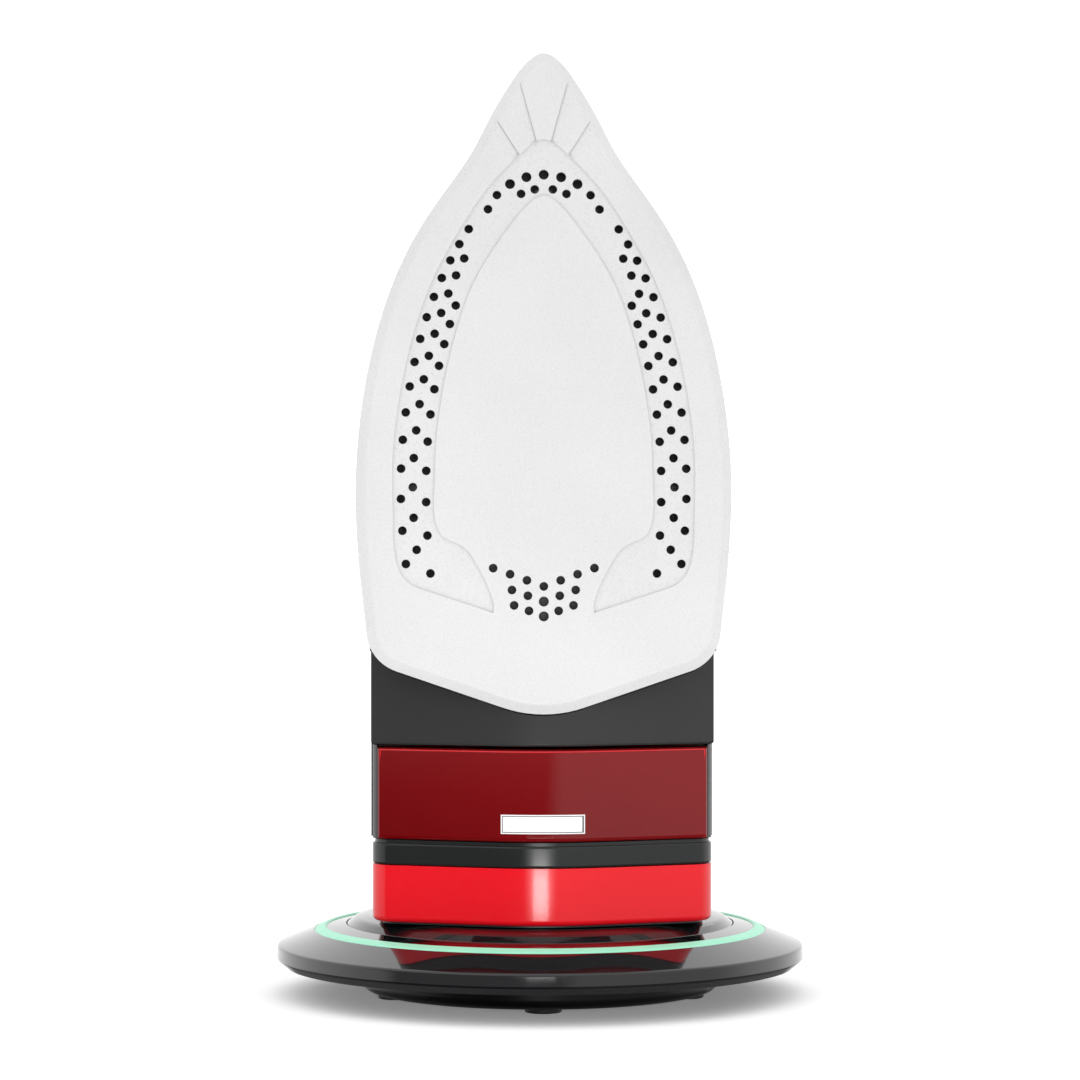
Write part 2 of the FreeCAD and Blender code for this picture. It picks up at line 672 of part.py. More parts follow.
def heel_band():
    """Black gloss band over the red cap, closed on top, with the recessed neck under the body."""
    band = plan_prism(heel_plan(), BAND_Z, NECK_Z)
    edges = [e for e in band.Edges if e.BoundBox.ZLength < 0.01]
    band = try_fillet(band, 0.7, edges)
    neck = plan_prism(heel_plan(0.8), NECK_Z - 0.5, BODY_Z - SEAM)
    band = band.fuse(neck)
    hollow = plan_prism(heel_plan(SHELL_WALL + 1.2), BAND_Z - 1, NECK_Z)
    band = band.cut(hollow)
    wire_way = block(-12, 12, 12, 30, NECK_Z - 1, BODY_Z)
    return band.cut(wire_way)


# ---------------------------------------------------------------- soleplate and steam holes
# Shares as in SOLE_SIDE. The track is the sunken horseshoe that holds the steam holes.
TRACK_OUTER = [
    (0, 0.1319), (0.131, 0.1552), (0.291, 0.2029), (0.438, 0.2643), (0.577, 0.3362),
    (0.690, 0.4238), (0.763, 0.5162), (0.803, 0.6238), (0.800, 0.7071), (0.790, 0.7595),
    (0.763, 0.7848), (0.728, 0.7981), (0.674, 0.8081),
]
TRACK_TIP = (0.268, 0.8463)
TRACK_INNER = [
    (0.263, 0.8343), (0.306, 0.7995), (0.358, 0.7719), (0.420, 0.7481), (0.474, 0.7395),
    (0.517, 0.7343), (0.552, 0.7248), (0.571, 0.7119), (0.579, 0.6571), (0.574, 0.6071),
    (0.534, 0.5095), (0.470, 0.4281), (0.365, 0.3452), (0.219, 0.2781), (0.146, 0.2505),
    (0.065, 0.2262), (0, 0.2171),
]


def track_wire(y):
    outer = [on_sole(p, y) for p in TRACK_OUTER]
    inner = [on_sole(p, y) for p in TRACK_INNER]
    tip = on_sole(TRACK_TIP, y)
    far = spline_edge(mirrored(outer[1:])[::-1] + outer)
    near = spline_edge(inner + mirrored(inner[:-1])[::-1])
    tip_left = mirrored([tip])[0]
    right = [Part.makeLine(outer[-1], tip), Part.makeLine(tip, inner[0])]
    left = [
        Part.makeLine(mirrored([inner[0]])[0], tip_left),
        Part.makeLine(tip_left, mirrored([outer[-1]])[0]),
    ]
    return Part.Wire(Part.__sortEdges__([far] + right + [near] + left))


# Columns of holes: points that the column runs through, how many holes, and how much each
# pitch is longer than the one before.
HOLE_COLUMNS = [
    ([(0.398, 0.2671), (0.580, 0.3676), (0.705, 0.4957), (0.758, 0.6652), (0.731, 0.7724)], 15, 1.05),
    ([(0.422, 0.3114), (0.572, 0.4186), (0.671, 0.5576), (0.694, 0.6471), (0.674, 0.7510)], 13, 1.05),
    ([(0.467, 0.3824), (0.555, 0.4729), (0.613, 0.5790), (0.624, 0.6752), (0.617, 0.7295)], 10, 1.07),
]
CROWN_HOLES = [(0.092, 0.1886), (0.179, 0.1990), (0.2485, 0.2157), (0.296, 0.2371)]
CROWN_INNER = [(0.048, 0.2071), (0.1205, 0.2138)]
LONE_HOLE = (0.601, 0.7867)
REAR_ROWS = [(0.8062, 4, 0.0895, 0.0092), (0.8290, 3, 0.0845, 0.0087), (0.8514, 3, 0.0787, 0.0083)]


def hole_places():
    """(share point, radius) of every steam hole on the right half, and of those on the centre line."""
    places = []
    for points, count, growth in HOLE_COLUMNS:
        edge = spline_edge([on_sole(p, 0) for p in points])
        first = edge.Length * (growth - 1) / (growth ** (count - 1) - 1)
        reach = 0.0
        for i in range(count):
            at = edge.valueAt(edge.getParameterByLength(min(reach, edge.Length)))
            places.append(((at.x, at.z), HOLE_RADIUS))
            reach += first * growth ** i
    for i, point in enumerate(CROWN_HOLES + CROWN_INNER + [LONE_HOLE]):
        at = on_sole(point, 0)
        places.append(((at.x, at.z), BIG_HOLE_RADIUS if i < 2 else HOLE_RADIUS))
    for row, (share, count, pitch, rise) in enumerate(REAR_ROWS):
        for i in range(count):
            at = on_sole((pitch * i, share - rise * i), 0)
            big = row > 0 and i == 0
            places.append(((at.x, at.z), BIG_HOLE_RADIUS if big else HOLE_RADIUS))
    top = on_sole((0, 0.1848), 0)
    places.append(((0, top.z), BIG_HOLE_RADIUS))
    return places


def steam_holes(y_low, y_high):
    holes = []
    for (x, z), radius in hole_places():
        for side in ((x, -x) if x > 0.5 else (x,)):
            holes.append(rod(radius, Vector(side, y_low, z), BACK, y_high - y_low))
    return Part.makeCompound(holes)


# Sunken wedges of the nose: inner line from edge to arch, then outer line from arch to edge.
NOSE_WEDGES = [
    [(0.139, 0.030), (0.038, 0.1345), (0.083, 0.1395), (0.197, 0.060)],
    [(0.285, 0.086), (0.131, 0.1545), (0.170, 0.1640), (0.340, 0.112)],
]


def nose_wedge(points):
    """A shallow wedge, deepest along its first line and running out to nothing at its second."""
    a, b, c, d = [on_sole(p, SOLE_FACE_Y) for p in points]
    deep = BACK * GROOVE_DEPTH
    skim = BACK * -0.02
    lift = BACK * -0.6
    top = [a + lift, b + lift, c + lift, d + lift]
    low = [a + deep, b + deep, c + skim, d + skim]
    return Part.makeLoft(
        [Part.makePolygon([p[0], p[1], q[1], q[0], p[0]]) for p, q in
         (((top[0], top[3]), (low[0], low[3])), ((top[1], top[2]), (low[1], low[2])))],
        True, True,
    )


def soleplate():
    """Ceramic-faced casting: bevelled rim, sunken steam track, fanned nose and steam holes."""
    plate = sole_prism(0, SOLE_FACE_Y, SOLE_BACK_Y)
    rim = [e for e in plate.Edges if e.BoundBox.YMax < SOLE_FACE_Y + 0.01]
    plate = plate.makeChamfer(SOLE_BEVEL_DEEP, SOLE_BEVEL_WIDE, rim)
    face_rim = [e for e in plate.Edges if e.BoundBox.YMax < SOLE_FACE_Y + 0.01]
    plate = try_fillet(plate, 1.6, face_rim)
    track = prism(track_wire(SOLE_FACE_Y - 1), BACK * (1 + TRACK_DEPTH))
    floor = [e for e in track.Edges if e.BoundBox.YMin > SOLE_FACE_Y + TRACK_DEPTH - 0.01]
    track = try_fillet(track, 0.5, floor)
    wedges = [nose_wedge(w) for w in NOSE_WEDGES]
    plate = plate.cut(track)
    for wedge in wedges:
        plate = plate.cut([wedge, wedge.mirror(Vector(0, 0, 0), Vector(1, 0, 0))])
    channel_y = SOLE_FACE_Y + 3.2
    channel = sole_prism(9.5, channel_y, SOLE_BACK_Y + 1)
    core = sole_prism(28.0, channel_y - 1, SOLE_BACK_Y + 2)
    plate = plate.cut(channel.cut(core))
    return plate.cut(steam_holes(SOLE_FACE_Y - 1, channel_y + 1))


# ---------------------------------------------------------------- heater, under the skirt
CASTING_SCREWS = [(0, 0.155), (0.62, 0.845), (-0.62, 0.845)]
ELEMENT_RADIUS = 3.6
ELEMENT_Y = SOLE_BACK_Y + 4.1
CHAMBER_DEPTH = 1.9
COVER_PLATE = 1.2
PILLAR_RADIUS = 5.0


def casting_spots():
    return [on_sole(p, 0) for p in CASTING_SCREWS]


def element_path():
    """U of the heater: up one side, round the nose and down the other, its ends clear of the rear."""
    shares = [(0.40, 0.945, 0), (0.44, 0.60, 38), (0, 0.235, 12), (-0.44, 0.60, 38), (-0.40, 0.945, 0)]
    return path_wire([on_sole(s[:2], ELEMENT_Y) for s in shares], [s[2] for s in shares])


def heater_casting():
    """Aluminium steam generator on the back of the soleplate, with its pillars for the skirt."""
    casting = sole_prism(7.0, SOLE_BACK_Y, CASTING_BACK_Y)
    chamber = sole_prism(16.0, CASTING_BACK_Y - CHAMBER_DEPTH, CASTING_BACK_Y + 1)
    casting = casting.cut(chamber)
    casting = casting.cut(pipe(element_path(), ELEMENT_RADIUS + 0.1))
    for at in casting_spots():
        start = Vector(at.x, SOLE_BACK_Y + 1, at.z)
        casting = casting.fuse(rod(PILLAR_RADIUS, start, BACK, SKIRT_FLOOR_Y - SOLE_BACK_Y - 1 - 0.05))
    for at in casting_spots():
        start = Vector(at.x, CASTING_BACK_Y - 3, at.z)
        casting = casting.cut(rod(SCREW_RADIUS + SCREW_FIT, start, BACK, 30))
    ports = [(0, 0.165), (0.66, 0.52), (-0.66, 0.52), (0.70, 0.66), (-0.70, 0.66)]
    for port in ports:
        at = on_sole(port, SOLE_BACK_Y - 1)
        casting = casting.cut(rod(2.2, at, BACK, 14))
    return casting


def chamber_cover():
    """Steel lid of the steam chamber."""
    plate = sole_prism(12.0, CASTING_BACK_Y, CASTING_BACK_Y + COVER_PLATE)
    for at in casting_spots():
        plate = plate.cut(rod(PILLAR_RADIUS + 0.6, Vector(at.x, CASTING_BACK_Y - 2, at.z), BACK, 9))
    drip = Vector(0, CASTING_BACK_Y - 2, VALVE_Z)
    return plate.cut(rod(VALVE_RADIUS + 0.1, drip, BACK, 9))


VALVE_RADIUS = 4.5
THERMOSTAT_HALF = 7.0


def thermostat():
    """Bimetal thermostat on the chamber lid: a ceramic stack with the screw that the dial turns."""
    low = CASTING_BACK_Y + COVER_PLATE
    base = block(-THERMOSTAT_HALF, THERMOSTAT_HALF, low, low + 1.2, DIAL_Z - 14, DIAL_Z + 12)
    stack = rod(5.0, Vector(0, low + 1.1, DIAL_Z), BACK, 4.6)
    blade = block(-3.0, 3.0, low + 3.0, low + 3.8, DIAL_Z - 18, DIAL_Z)
    return base.fuse([stack, blade])


def thermal_fuse():
    """Safety cut-out clipped to the chamber lid beside the thermostat."""
    low = CASTING_BACK_Y + COVER_PLATE
    clip = block(14, 22, low, low + 0.8, DIAL_Z - 3, DIAL_Z + 3)
    capsule = rod(2.2, Vector(18, low + 2.9, DIAL_Z - 8), UP, 16)
    return clip.fuse(capsule)


def heating_element():
    """Sheathed U of the heater, cast into the aluminium, its cold ends out at the rear."""
    return pipe(element_path(), ELEMENT_RADIUS)


def drip_valve():
    """Brass seat between the tank's floor and the chamber lid; the needle closes it."""
    low = CASTING_BACK_Y - CHAMBER_DEPTH + 0.4
    valve = rod(VALVE_RADIUS, Vector(0, low, VALVE_Z), BACK, TANK_FRONT_Y + 1.2 - low)
    bore = rod(NEEDLE_RADIUS + 0.6, Vector(0, TANK_FRONT_Y - 6, VALVE_Z), BACK, 12)
    jet = rod(0.7, Vector(0, low - 1, VALVE_Z), BACK, 20)
    return valve.cut(bore).cut(jet)


def valve_grommet():
    """Rubber seal of the drip valve in the tank's floor."""
    ring = rod(VALVE_RADIUS + 2.0, Vector(0, TANK_FRONT_Y + 0.05, VALVE_Z), BACK, TANK_WALL + 1.0)
    return ring.cut(rod(VALVE_RADIUS + 0.05, Vector(0, TANK_FRONT_Y - 3, VALVE_Z), BACK, 20))


def casting_screws():
    screws = []
    for at in casting_spots():
        head = rod(2.7, Vector(at.x, SEAM_Y - 1.5, at.z), BACK, 1.4)
        start = Vector(at.x, CASTING_BACK_Y - 2, at.z)
        shank = rod(SCREW_RADIUS, start, BACK, SEAM_Y - 1.4 - start.y)
        screws.append(head.fuse(shank))
    return Part.makeCompound(screws)


def beyond_rear(inset, y_low, y_high):
    """Everything on the nose side of the sole's rounded rear V, moved in by inset."""
    corner = on_sole(SOLE_CORNER, 0)
    side = SOLE_HALF - 1
    low = corner.z - corner.x * SOLE_REAR_SLOPE + inset * 1.06
    rise = low + side * SOLE_REAR_SLOPE
    corners = [
        (0, low, SOLE_REAR_RADIUS), (side, rise, 16), (side, NOSE_Z + 5, 0), (-side, NOSE_Z + 5, 0),
        (-side, rise, 16),
    ]
    return front_prism(corners, y_low, y_high)


def skirt():
    """Black heat-proof skirt: a tray over the heater that runs down into the V of the rear."""
    tray = body_loft(-1, 0).common(beyond_rear(0.9, SKIRT_FRONT_Y - 1, SEAM_Y + 1))
    v_top = on_sole(SOLE_CORNER, 0).z + 8
    rear = plan_prism(front_plan(HEEL_HALF, 0, SEAM_Y), SKIRT_LOW_Z, v_top)
    low = SKIRT_LOW_Z + 0.01
    foot = [e for e in rear.Edges if e.BoundBox.ZMax < low and e.BoundBox.YMin < SEAM_Y - 2]
    rear = try_fillet(rear, 0.8, foot)
    rear = rear.cut(sole_prism(-0.5, SOLE_FACE_Y - 3, SKIRT_FRONT_Y))
    body = tray.fuse(rear)
    floor_level = (SKIRT_FLOOR_Y - SEAM_Y) / SKIRT_DEPTH
    pocket = body_loft(-1, floor_level, SHELL_WALL, SKIRT_FRONT_Y - 0.5, SKIRT_FLOOR_Y)
    pocket = pocket.common(beyond_rear(3.6, SKIRT_FRONT_Y - 1, SKIRT_FLOOR_Y + 1))
    plan = front_plan(HEEL_HALF - SHELL_WALL, SHELL_WALL, SEAM_Y + 5)
    v_pocket = plan_prism(plan, SKIRT_LOW_Z + SHELL_WALL, SOLE_REAR_Z - SHELL_WALL)
    v_pocket = v_pocket.common(block(-100, 100, -100, SKIRT_FLOOR_Y, 0, NOSE_Z))
    body = body.cut([pocket, v_pocket])
    for at in casting_spots():
        body = body.cut(rod(SCREW_RADIUS + SCREW_FIT, Vector(at.x, SKIRT_FLOOR_Y - 2, at.z), BACK, 9))
        body = body.cut(rod(3.0, Vector(at.x, SEAM_Y - 1.6, at.z), BACK, 5))
    body = body.cut(rod(VALVE_RADIUS + 0.15, Vector(0, SKIRT_FLOOR_Y - 2, VALVE_Z), BACK, 9))
    return body.cut(rod(TUNNEL_RADIUS, Vector(0, SKIRT_FLOOR_Y - 2, DIAL_Z), BACK, 9))


# ---------------------------------------------------------------- water tank
INLET_Z = along(0.775)
INLET_HALF = 6.5


def water_tank():
    """Tinted tank: the whole middle of the body, with the window in the V under the soleplate."""

    def window(inset):
        plan = front_plan(WINDOW_HALF - inset, 0.35 + inset, TANK_FRONT_Y + 2 + inset)
        return plan_prism(plan, BODY_Z + inset, WINDOW_TOP_Z - inset)

    shell = window(0)
    low = SEAM_Y - 3
    front = [e for e in shell.Edges if e.BoundBox.YMin < low and e.BoundBox.YMax < TANK_FRONT_Y + 1]
    shell = try_fillet(shell, 1.3, front)
    shell = body_loft(0, 1).fuse(shell)
    hollow = body_loft(0, 1, TANK_WALL, TANK_FRONT_Y + TANK_WALL, TANK_BACK_Y - TANK_WALL)
    inner = hollow.fuse(window(TANK_WALL))
    tank = shell.cut(inner)
    tube = rod(TUNNEL_RADIUS + 1.8, Vector(0, TANK_FRONT_Y, DIAL_Z), BACK, TANK_DEPTH)
    tank = tank.fuse(tube)
    tank = tank.cut(rod(TUNNEL_RADIUS, Vector(0, TANK_FRONT_Y - 1, DIAL_Z), BACK, TANK_DEPTH + 2))
    tank = tank.cut(rod(VALVE_RADIUS + 2.1, Vector(0, TANK_FRONT_Y - 1, VALVE_Z), BACK, TANK_WALL + 2))
    tank = tank.cut(rod(NEEDLE_RADIUS + 1.0, Vector(0, TANK_BACK_Y - 4, VALVE_Z), BACK, 8))
    inlet = block(-INLET_HALF, INLET_HALF, TANK_BACK_Y - 4, TANK_BACK_Y + 2, INLET_Z - 5, INLET_Z + 5)
    tank = tank.cut(inlet)
    for x in (-PUMP_X, PUMP_X):
        tank = tank.cut(rod(HOSE_RADIUS + 0.15, Vector(x, TANK_BACK_Y - 4, HOSE_Z), BACK, 8))
    return tank


PUMP_X = BUTTON_X
HOSE_RADIUS = 1.8
HOSE_Z = along(0.6925)


def side_cheeks():
    """Black cheeks on both sides of the tank at the heel, ending in the corners beside the window."""
    low, high = -2.1, -0.3
    shell = body_loft(0, 1, low).cut(body_loft(0, 1, high))
    rake = side_prism(
        [(TANK_FRONT_Y, BODY_Z, 0), (TANK_BACK_Y, BODY_Z, 0), (TANK_BACK_Y, BODY_Z + 74, 0),
         (TANK_BACK_Y - 9, BODY_Z + 66, 10), (TANK_FRONT_Y, WINDOW_TOP_Z + 5, 0)],
        WINDOW_HALF - 8, HEEL_HALF + 8,
    )
    cheek = shell.common(rake)
    corner = plan_prism(heel_plan(), BODY_Z, WINDOW_TOP_Z + 0.6)
    keep = block(WINDOW_HALF + 0.25, HEEL_HALF + 5, -40, TANK_FRONT_Y, BODY_Z, WINDOW_TOP_Z + 5)
    cheek = cheek.fuse(corner.common(keep)).removeSplitter()
    return both_sides(cheek)


def fill_funnel():
    """Chute inside the front post from the filling door down to the tank's inlet."""
    wall = 1.4
    start, end = DECK_TOP_Y - DECK_THICKNESS, FUNNEL_TOP_Y
    outer = block(-INLET_HALF + 0.2, INLET_HALF - 0.2, start, end, INLET_Z - 4.8, INLET_Z + 4.8)
    inner = block(-INLET_HALF + wall, INLET_HALF - wall, start - 1, end + 1, INLET_Z - 4.8 + wall,
                  INLET_Z + 4.8 - wall)
    return outer.cut(inner)


FUNNEL_TOP_Y = DECK_TOP_Y + 8.0


# ---------------------------------------------------------------- deck, dial and handle
def deck():
    """Black cover over the tank, with a shallow dish for the dial."""
    plate = prism(body_wire(1, DECK_Y, -0.6), Vector(0, DECK_THICKNESS, 0))
    top = [e for e in plate.Edges if e.BoundBox.YMin > DECK_TOP_Y - 0.01]
    plate = try_fillet(plate, 2.0, top)
    plate = plate.common(block(-100, 100, DECK_Y - 1, DECK_TOP_Y + 1, BODY_Z, NOSE_Z))
    plate = plate.cut(rod(DIAL_RADIUS + 1.2, Vector(0, DECK_TOP_Y - 2.2, DIAL_Z), BACK, 10))
    plate = plate.cut(rod(SPINDLE_RADIUS + SLIDE_FIT, Vector(0, DECK_Y - 1, DIAL_Z), BACK, 12))
    plate = plate.cut(rod(NEEDLE_RADIUS + SLIDE_FIT, Vector(0, DECK_Y - 1, VALVE_Z), BACK, 12))
    hole = block(-INLET_HALF, INLET_HALF, DECK_Y - 1, DECK_TOP_Y + 1, INLET_Z - 5, INLET_Z + 5)
    plate = plate.cut(hole)
    for x in (-PUMP_X, PUMP_X):
        plate = plate.cut(rod(HOSE_RADIUS + 0.15, Vector(x, DECK_Y - 1, HOSE_Z), BACK, 12))
    return plate


def temperature_dial():
    """Round thermostat dial lying on the deck, scalloped for the thumb, with its long spindle."""
    low = DECK_TOP_Y - 2.2 + RUNNING
    disc = rod(DIAL_RADIUS, Vector(0, low, DIAL_Z), BACK, DIAL_HEIGHT)
    rim = [e for e in disc.Edges if e.BoundBox.YMin > low + DIAL_HEIGHT - 0.01]
    disc = try_fillet(disc, 1.2, rim)
    for x, z in spots(24, DIAL_RADIUS + 1.4, 7.5):
        disc = disc.cut(rod(2.4, Vector(x, low - 1, DIAL_Z + z), BACK, DIAL_HEIGHT + 2))
    dish = rod(DIAL_RADIUS - 7, Vector(0, low + DIAL_HEIGHT - 1.2, DIAL_Z), BACK, 3)
    grip = block(-3.0, 3.0, low + DIAL_HEIGHT - 1.3, low + DIAL_HEIGHT + 2.0, DIAL_Z - 15, DIAL_Z + 15)
    disc = disc.cut(dish).fuse(grip)
    stop = CASTING_BACK_Y + COVER_PLATE + 5.7 + RUNNING
    spindle = rod(SPINDLE_RADIUS, Vector(0, stop, DIAL_Z), BACK, low - stop + 0.5)
    return disc.fuse(spindle)


def dial_pointer():
    """Moulded arrow on the deck that the dial's figures pass."""
    tip = DIAL_Z + DIAL_RADIUS + 3.2
    corners = [(0, tip, 0), (2.2, tip + 4.5, 0), (-2.2, tip + 4.5, 0)]
    return front_prism(corners, DECK_TOP_Y, DECK_TOP_Y + 0.5)


def oriented_block(station, x, half_width, half_length, low, high, radius=0.0, forward=0.0):
    """Rounded block standing on a station, long along the path and tall along its normal."""
    corners = [
        (x + half_width, forward + half_length, radius),
        (x - half_width, forward + half_length, radius),
        (x - half_width, forward - half_length, radius),
        (x + half_width, forward - half_length, radius),
    ]
    wire = rounded_wire(corners, lambda a, b: station.point(a, low, b))
    return prism(wire, station.out * (high - low))


def surface_rise(body, station, forward=0.0, x=0.0):
    """How far out from a station's centre the body's outer surface lies."""
    start = station.point(x, 0, forward)
    line = Part.makeLine(start, start + station.out * 60)
    inside = line.common(body)
    return max((v.Point - start).Length for v in inside.Vertexes)


def button_blocks(rise, margin, low, high):
    half_width, half_length = BUTTON_HALF_WIDTH + margin, BUTTON_HALF_LENGTH + margin
    return [
        oriented_block(BUTTON_AT, x, half_width, half_length, rise + low, rise + high, 2.4 + margin)
        for x in (-BUTTON_X, BUTTON_X)
    ]


def handle_parts(outer):
    """The hollow handle, cut into its black shell, the red cover and the black control panel."""
    shell = outer.cut(handle_loft(SHELL_WALL))
    cover = shell.common(strip_loft(COVER_SPAN, INLAY_MARGIN))
    panel = shell.common(strip_loft(PANEL_SPAN, INLAY_MARGIN))
    for span in (COVER_SPAN, PANEL_SPAN):
        shell = shell.cut(strip_loft(span, INLAY_MARGIN - SEAM, 0.008))
    rise = surface_rise(outer, BUTTON_AT)
    for tool in button_blocks(rise, 0.35, -12, 12):
        panel = panel.cut(tool)
    rise = surface_rise(outer, SLIDER_AT)
    slot = oriented_block(SLIDER_AT, 0, 2.4, SLIDER_TRAVEL / 2 + 3.1, rise - 12, rise + 10, 1.0)
    panel = panel.cut(slot)
    shell = cut_door_seat(shell, outer)
    foot = block(-100, 100, 0, DECK_TOP_Y + SEAM, BODY_Z - 5, DIAL_Z)
    return shell.cut(foot), cover, panel


# Buttons, pumps and springs: two sets side by side under the thumb.
PUMP_BOTTOM = -12.0
PUMP_TOP = 1.0
PUMP_BORE = 4.4
SPRING_WIRE = 0.5
SPRING_RADIUS = 3.3


def button(outer, x):
    """Rounded key with a hollow skirt that stands proud of the panel."""
    rise = surface_rise(outer, BUTTON_AT)
    index = 0 if x < 0 else 1
    key = button_blocks(rise, 0, -5.0, 3.0)[index]
    tip = BUTTON_AT.point(0, rise + 2.9)
    crown = [e for e in key.Edges if min((v.Point - tip).dot(BUTTON_AT.out) for v in e.Vertexes) > 0]
    key = try_fillet(key, 1.1, crown)
    hollow = button_blocks(rise, -1.5, -6.0, 0.8)[index]
    return key.cut(hollow)


def plunger(outer, x):
    """Piston and stem of a pump, up to the underside of its button."""
    under = surface_rise(outer, BUTTON_AT) + 0.8
    piston_low = PUMP_BOTTOM + 1.6 + BUTTON_TRAVEL + 0.6
    piston = rod(PUMP_BORE - PIN_FIT, BUTTON_AT.point(x, piston_low), BUTTON_AT.out, 4.0)
    stem = rod(2.0, BUTTON_AT.point(x, piston_low + 3.5), BUTTON_AT.out, under - piston_low - 3.5)
    return piston.fuse(stem)


def return_spring(outer, x):
    under = surface_rise(outer, BUTTON_AT) + 0.8
    height = under - PUMP_TOP - 2 * SPRING_WIRE - 0.2
    helix = Part.makeHelix(height / 4, height, SPRING_RADIUS)
    profile = Part.Wire(Part.makeCircle(SPRING_WIRE, Vector(SPRING_RADIUS, 0, 0), Vector(0, 1, 0)))
    coil = helix.makePipeShell([profile], True, True)
    seat = BUTTON_AT.point(x, PUMP_TOP + SPRING_WIRE + 0.1)
    coil.Placement = FreeCAD.Placement(seat, FreeCAD.Rotation(UP, BUTTON_AT.out))
    return coil


def cavity_reach(inside, forward, out):
    """Half the cavity's width at one place on the pump plate."""
    start = BUTTON_AT.point(0, out, forward)
    across = Part.makeLine(start, start + Vector(60, 0, 0)).common(inside)
    return max(v.X for v in across.Vertexes)


def pump_block(inside):
    """Both pump barrels on one cross plate that spans the handle's cavity."""
    plate_top = PUMP_BOTTOM + 1.6
    places = [(forward, out) for forward in (-9, 0, 9) for out in (PUMP_BOTTOM, plate_top)]
    half_width = min(cavity_reach(inside, forward, out) for forward, out in places) - 0.1
    plate = oriented_block(BUTTON_AT, 0, half_width, 9, PUMP_BOTTOM, plate_top, 2.0)
    barrels = []
    for x in (-PUMP_X, PUMP_X):
        length = PUMP_TOP - PUMP_BOTTOM
        barrels.append(rod(PUMP_RADIUS, BUTTON_AT.point(x, PUMP_BOTTOM), BUTTON_AT.out, length))
        barrels.append(rod(1.6, BUTTON_AT.point(x, INLET_OUT, 4), BUTTON_AT.direction, 3.4))
        barrels.append(rod(0.9, BUTTON_AT.point(x, INLET_OUT, 4), BUTTON_AT.direction, 8))
    barrels.append(rod(0.9, BUTTON_AT.point(-PUMP_X, OUTLET_OUT, 4), BUTTON_AT.direction, 8))
    block_shape = plate.fuse(barrels)
    for x in (-PUMP_X, PUMP_X):
        bore = rod(PUMP_BORE, BUTTON_AT.point(x, PUMP_BOTTOM + 1.6), BUTTON_AT.out, 30)
        block_shape = block_shape.cut(bore)
    return block_shape


INLET_OUT = PUMP_BOTTOM + 3.4
OUTLET_OUT = PUMP_BOTTOM + 8.6


def hose(points, bend):
    path = path_wire(points, [bend] * len(points))
    return pipe(path, HOSE_RADIUS).cut(pipe(path, 1.0))


def pump_hoses():
    """Suction hoses from the tank up through the deck to the two pumps."""
    hoses = []
    for x in (-PUMP_X, PUMP_X):
        top = BUTTON_AT.point(x, INLET_OUT, 7.6)
        reach = (HOSE_Z - top.z) / BUTTON_AT.direction.z
        corner = top + BUTTON_AT.direction * reach
        hoses.append(hose([Vector(x, TANK_BACK_Y - 6, HOSE_Z), corner, top], 4.5))
    return Part.makeCompound(hoses)


def spray_hose():
    """Pressure hose from the left pump to the spray nozzle."""
    start = BUTTON_AT.point(-PUMP_X, OUTLET_OUT, 6.4)
    reach = (NOZZLE_Z + 3.5 - start.z) / BUTTON_AT.direction.z
    corner = start + BUTTON_AT.direction * reach
    return hose([start, corner, Vector(-NOZZLE_RADIUS, corner.y, corner.z)], 2.6)


NOZZLE_RADIUS = 3.0
NOZZLE_Z = along(0.762)
NOZZLE_Y = DECK_TOP_Y + 44.6


def nozzle_length(outer):
    start = Vector(0, NOZZLE_Y, NOZZLE_Z)
    inside = Part.makeLine(start, start + UP * 60).common(outer)
    return max(v.Z for v in inside.Vertexes) - NOZZLE_Z + 2.2


def spray_nozzle(outer):
    """Round nozzle in the nose side of the handle's front post, pointing along the iron."""
    start = Vector(0, NOZZLE_Y, NOZZLE_Z)
    length = nozzle_length(outer)
    body = rod(NOZZLE_RADIUS, start, UP, length)
    body = try_fillet(body, 0.8, [e for e in body.Edges if e.BoundBox.ZMin > NOZZLE_Z + length - 0.1])
    return body.cut(rod(0.6, start + UP * 2, UP, 60))


# Steam slider on the sloping front, and the needle that it lifts.
KNOB_RISE = 0.75


def steam_slider(outer):
    """Ribbed thumb slider, its stem through the panel's slot and its carriage below."""
    rise = surface_rise(outer, SLIDER_AT)
    off = -SLIDER_TRAVEL / 2
    low = rise + KNOB_RISE
    knob = oriented_block(SLIDER_AT, 0, 5.6, 3.6, low, low + 2.6, 1.4, off)
    ribs = [
        oriented_block(SLIDER_AT, 0, 4.2, 0.45, low + 2.4, low + 3.3, 0, off + step)
        for step in (-1.8, 0, 1.8)
    ]
    stem = oriented_block(SLIDER_AT, 0, 2.0, 2.2, rise - 5.6, low + 0.2, 0, off)
    carriage = oriented_block(SLIDER_AT, 0, 4.0, 3.2, rise - 6.6, rise - 5.0, 1.0, off)
    return knob.fuse(ribs + [stem, carriage])


def steam_needle():
    """Long needle from the drip valve up through tank and deck into the handle's front post."""
    low = TANK_FRONT_Y - 4.6
    top = DECK_TOP_Y + 34
    needle = rod(NEEDLE_RADIUS, Vector(0, low, VALVE_Z), BACK, top - low)
    head = rod(3.2, Vector(0, top - 1, VALVE_Z), BACK, 2.4)
    collar = rod(2.6, Vector(0, DECK_TOP_Y + 6, VALVE_Z), BACK, 1.6)
    return needle.fuse([head, collar])


# Filling door on the nose side of the front post.
PIN_DEEP = 2.0
KNUCKLE = 1.9
HINGE_GAP = 0.8


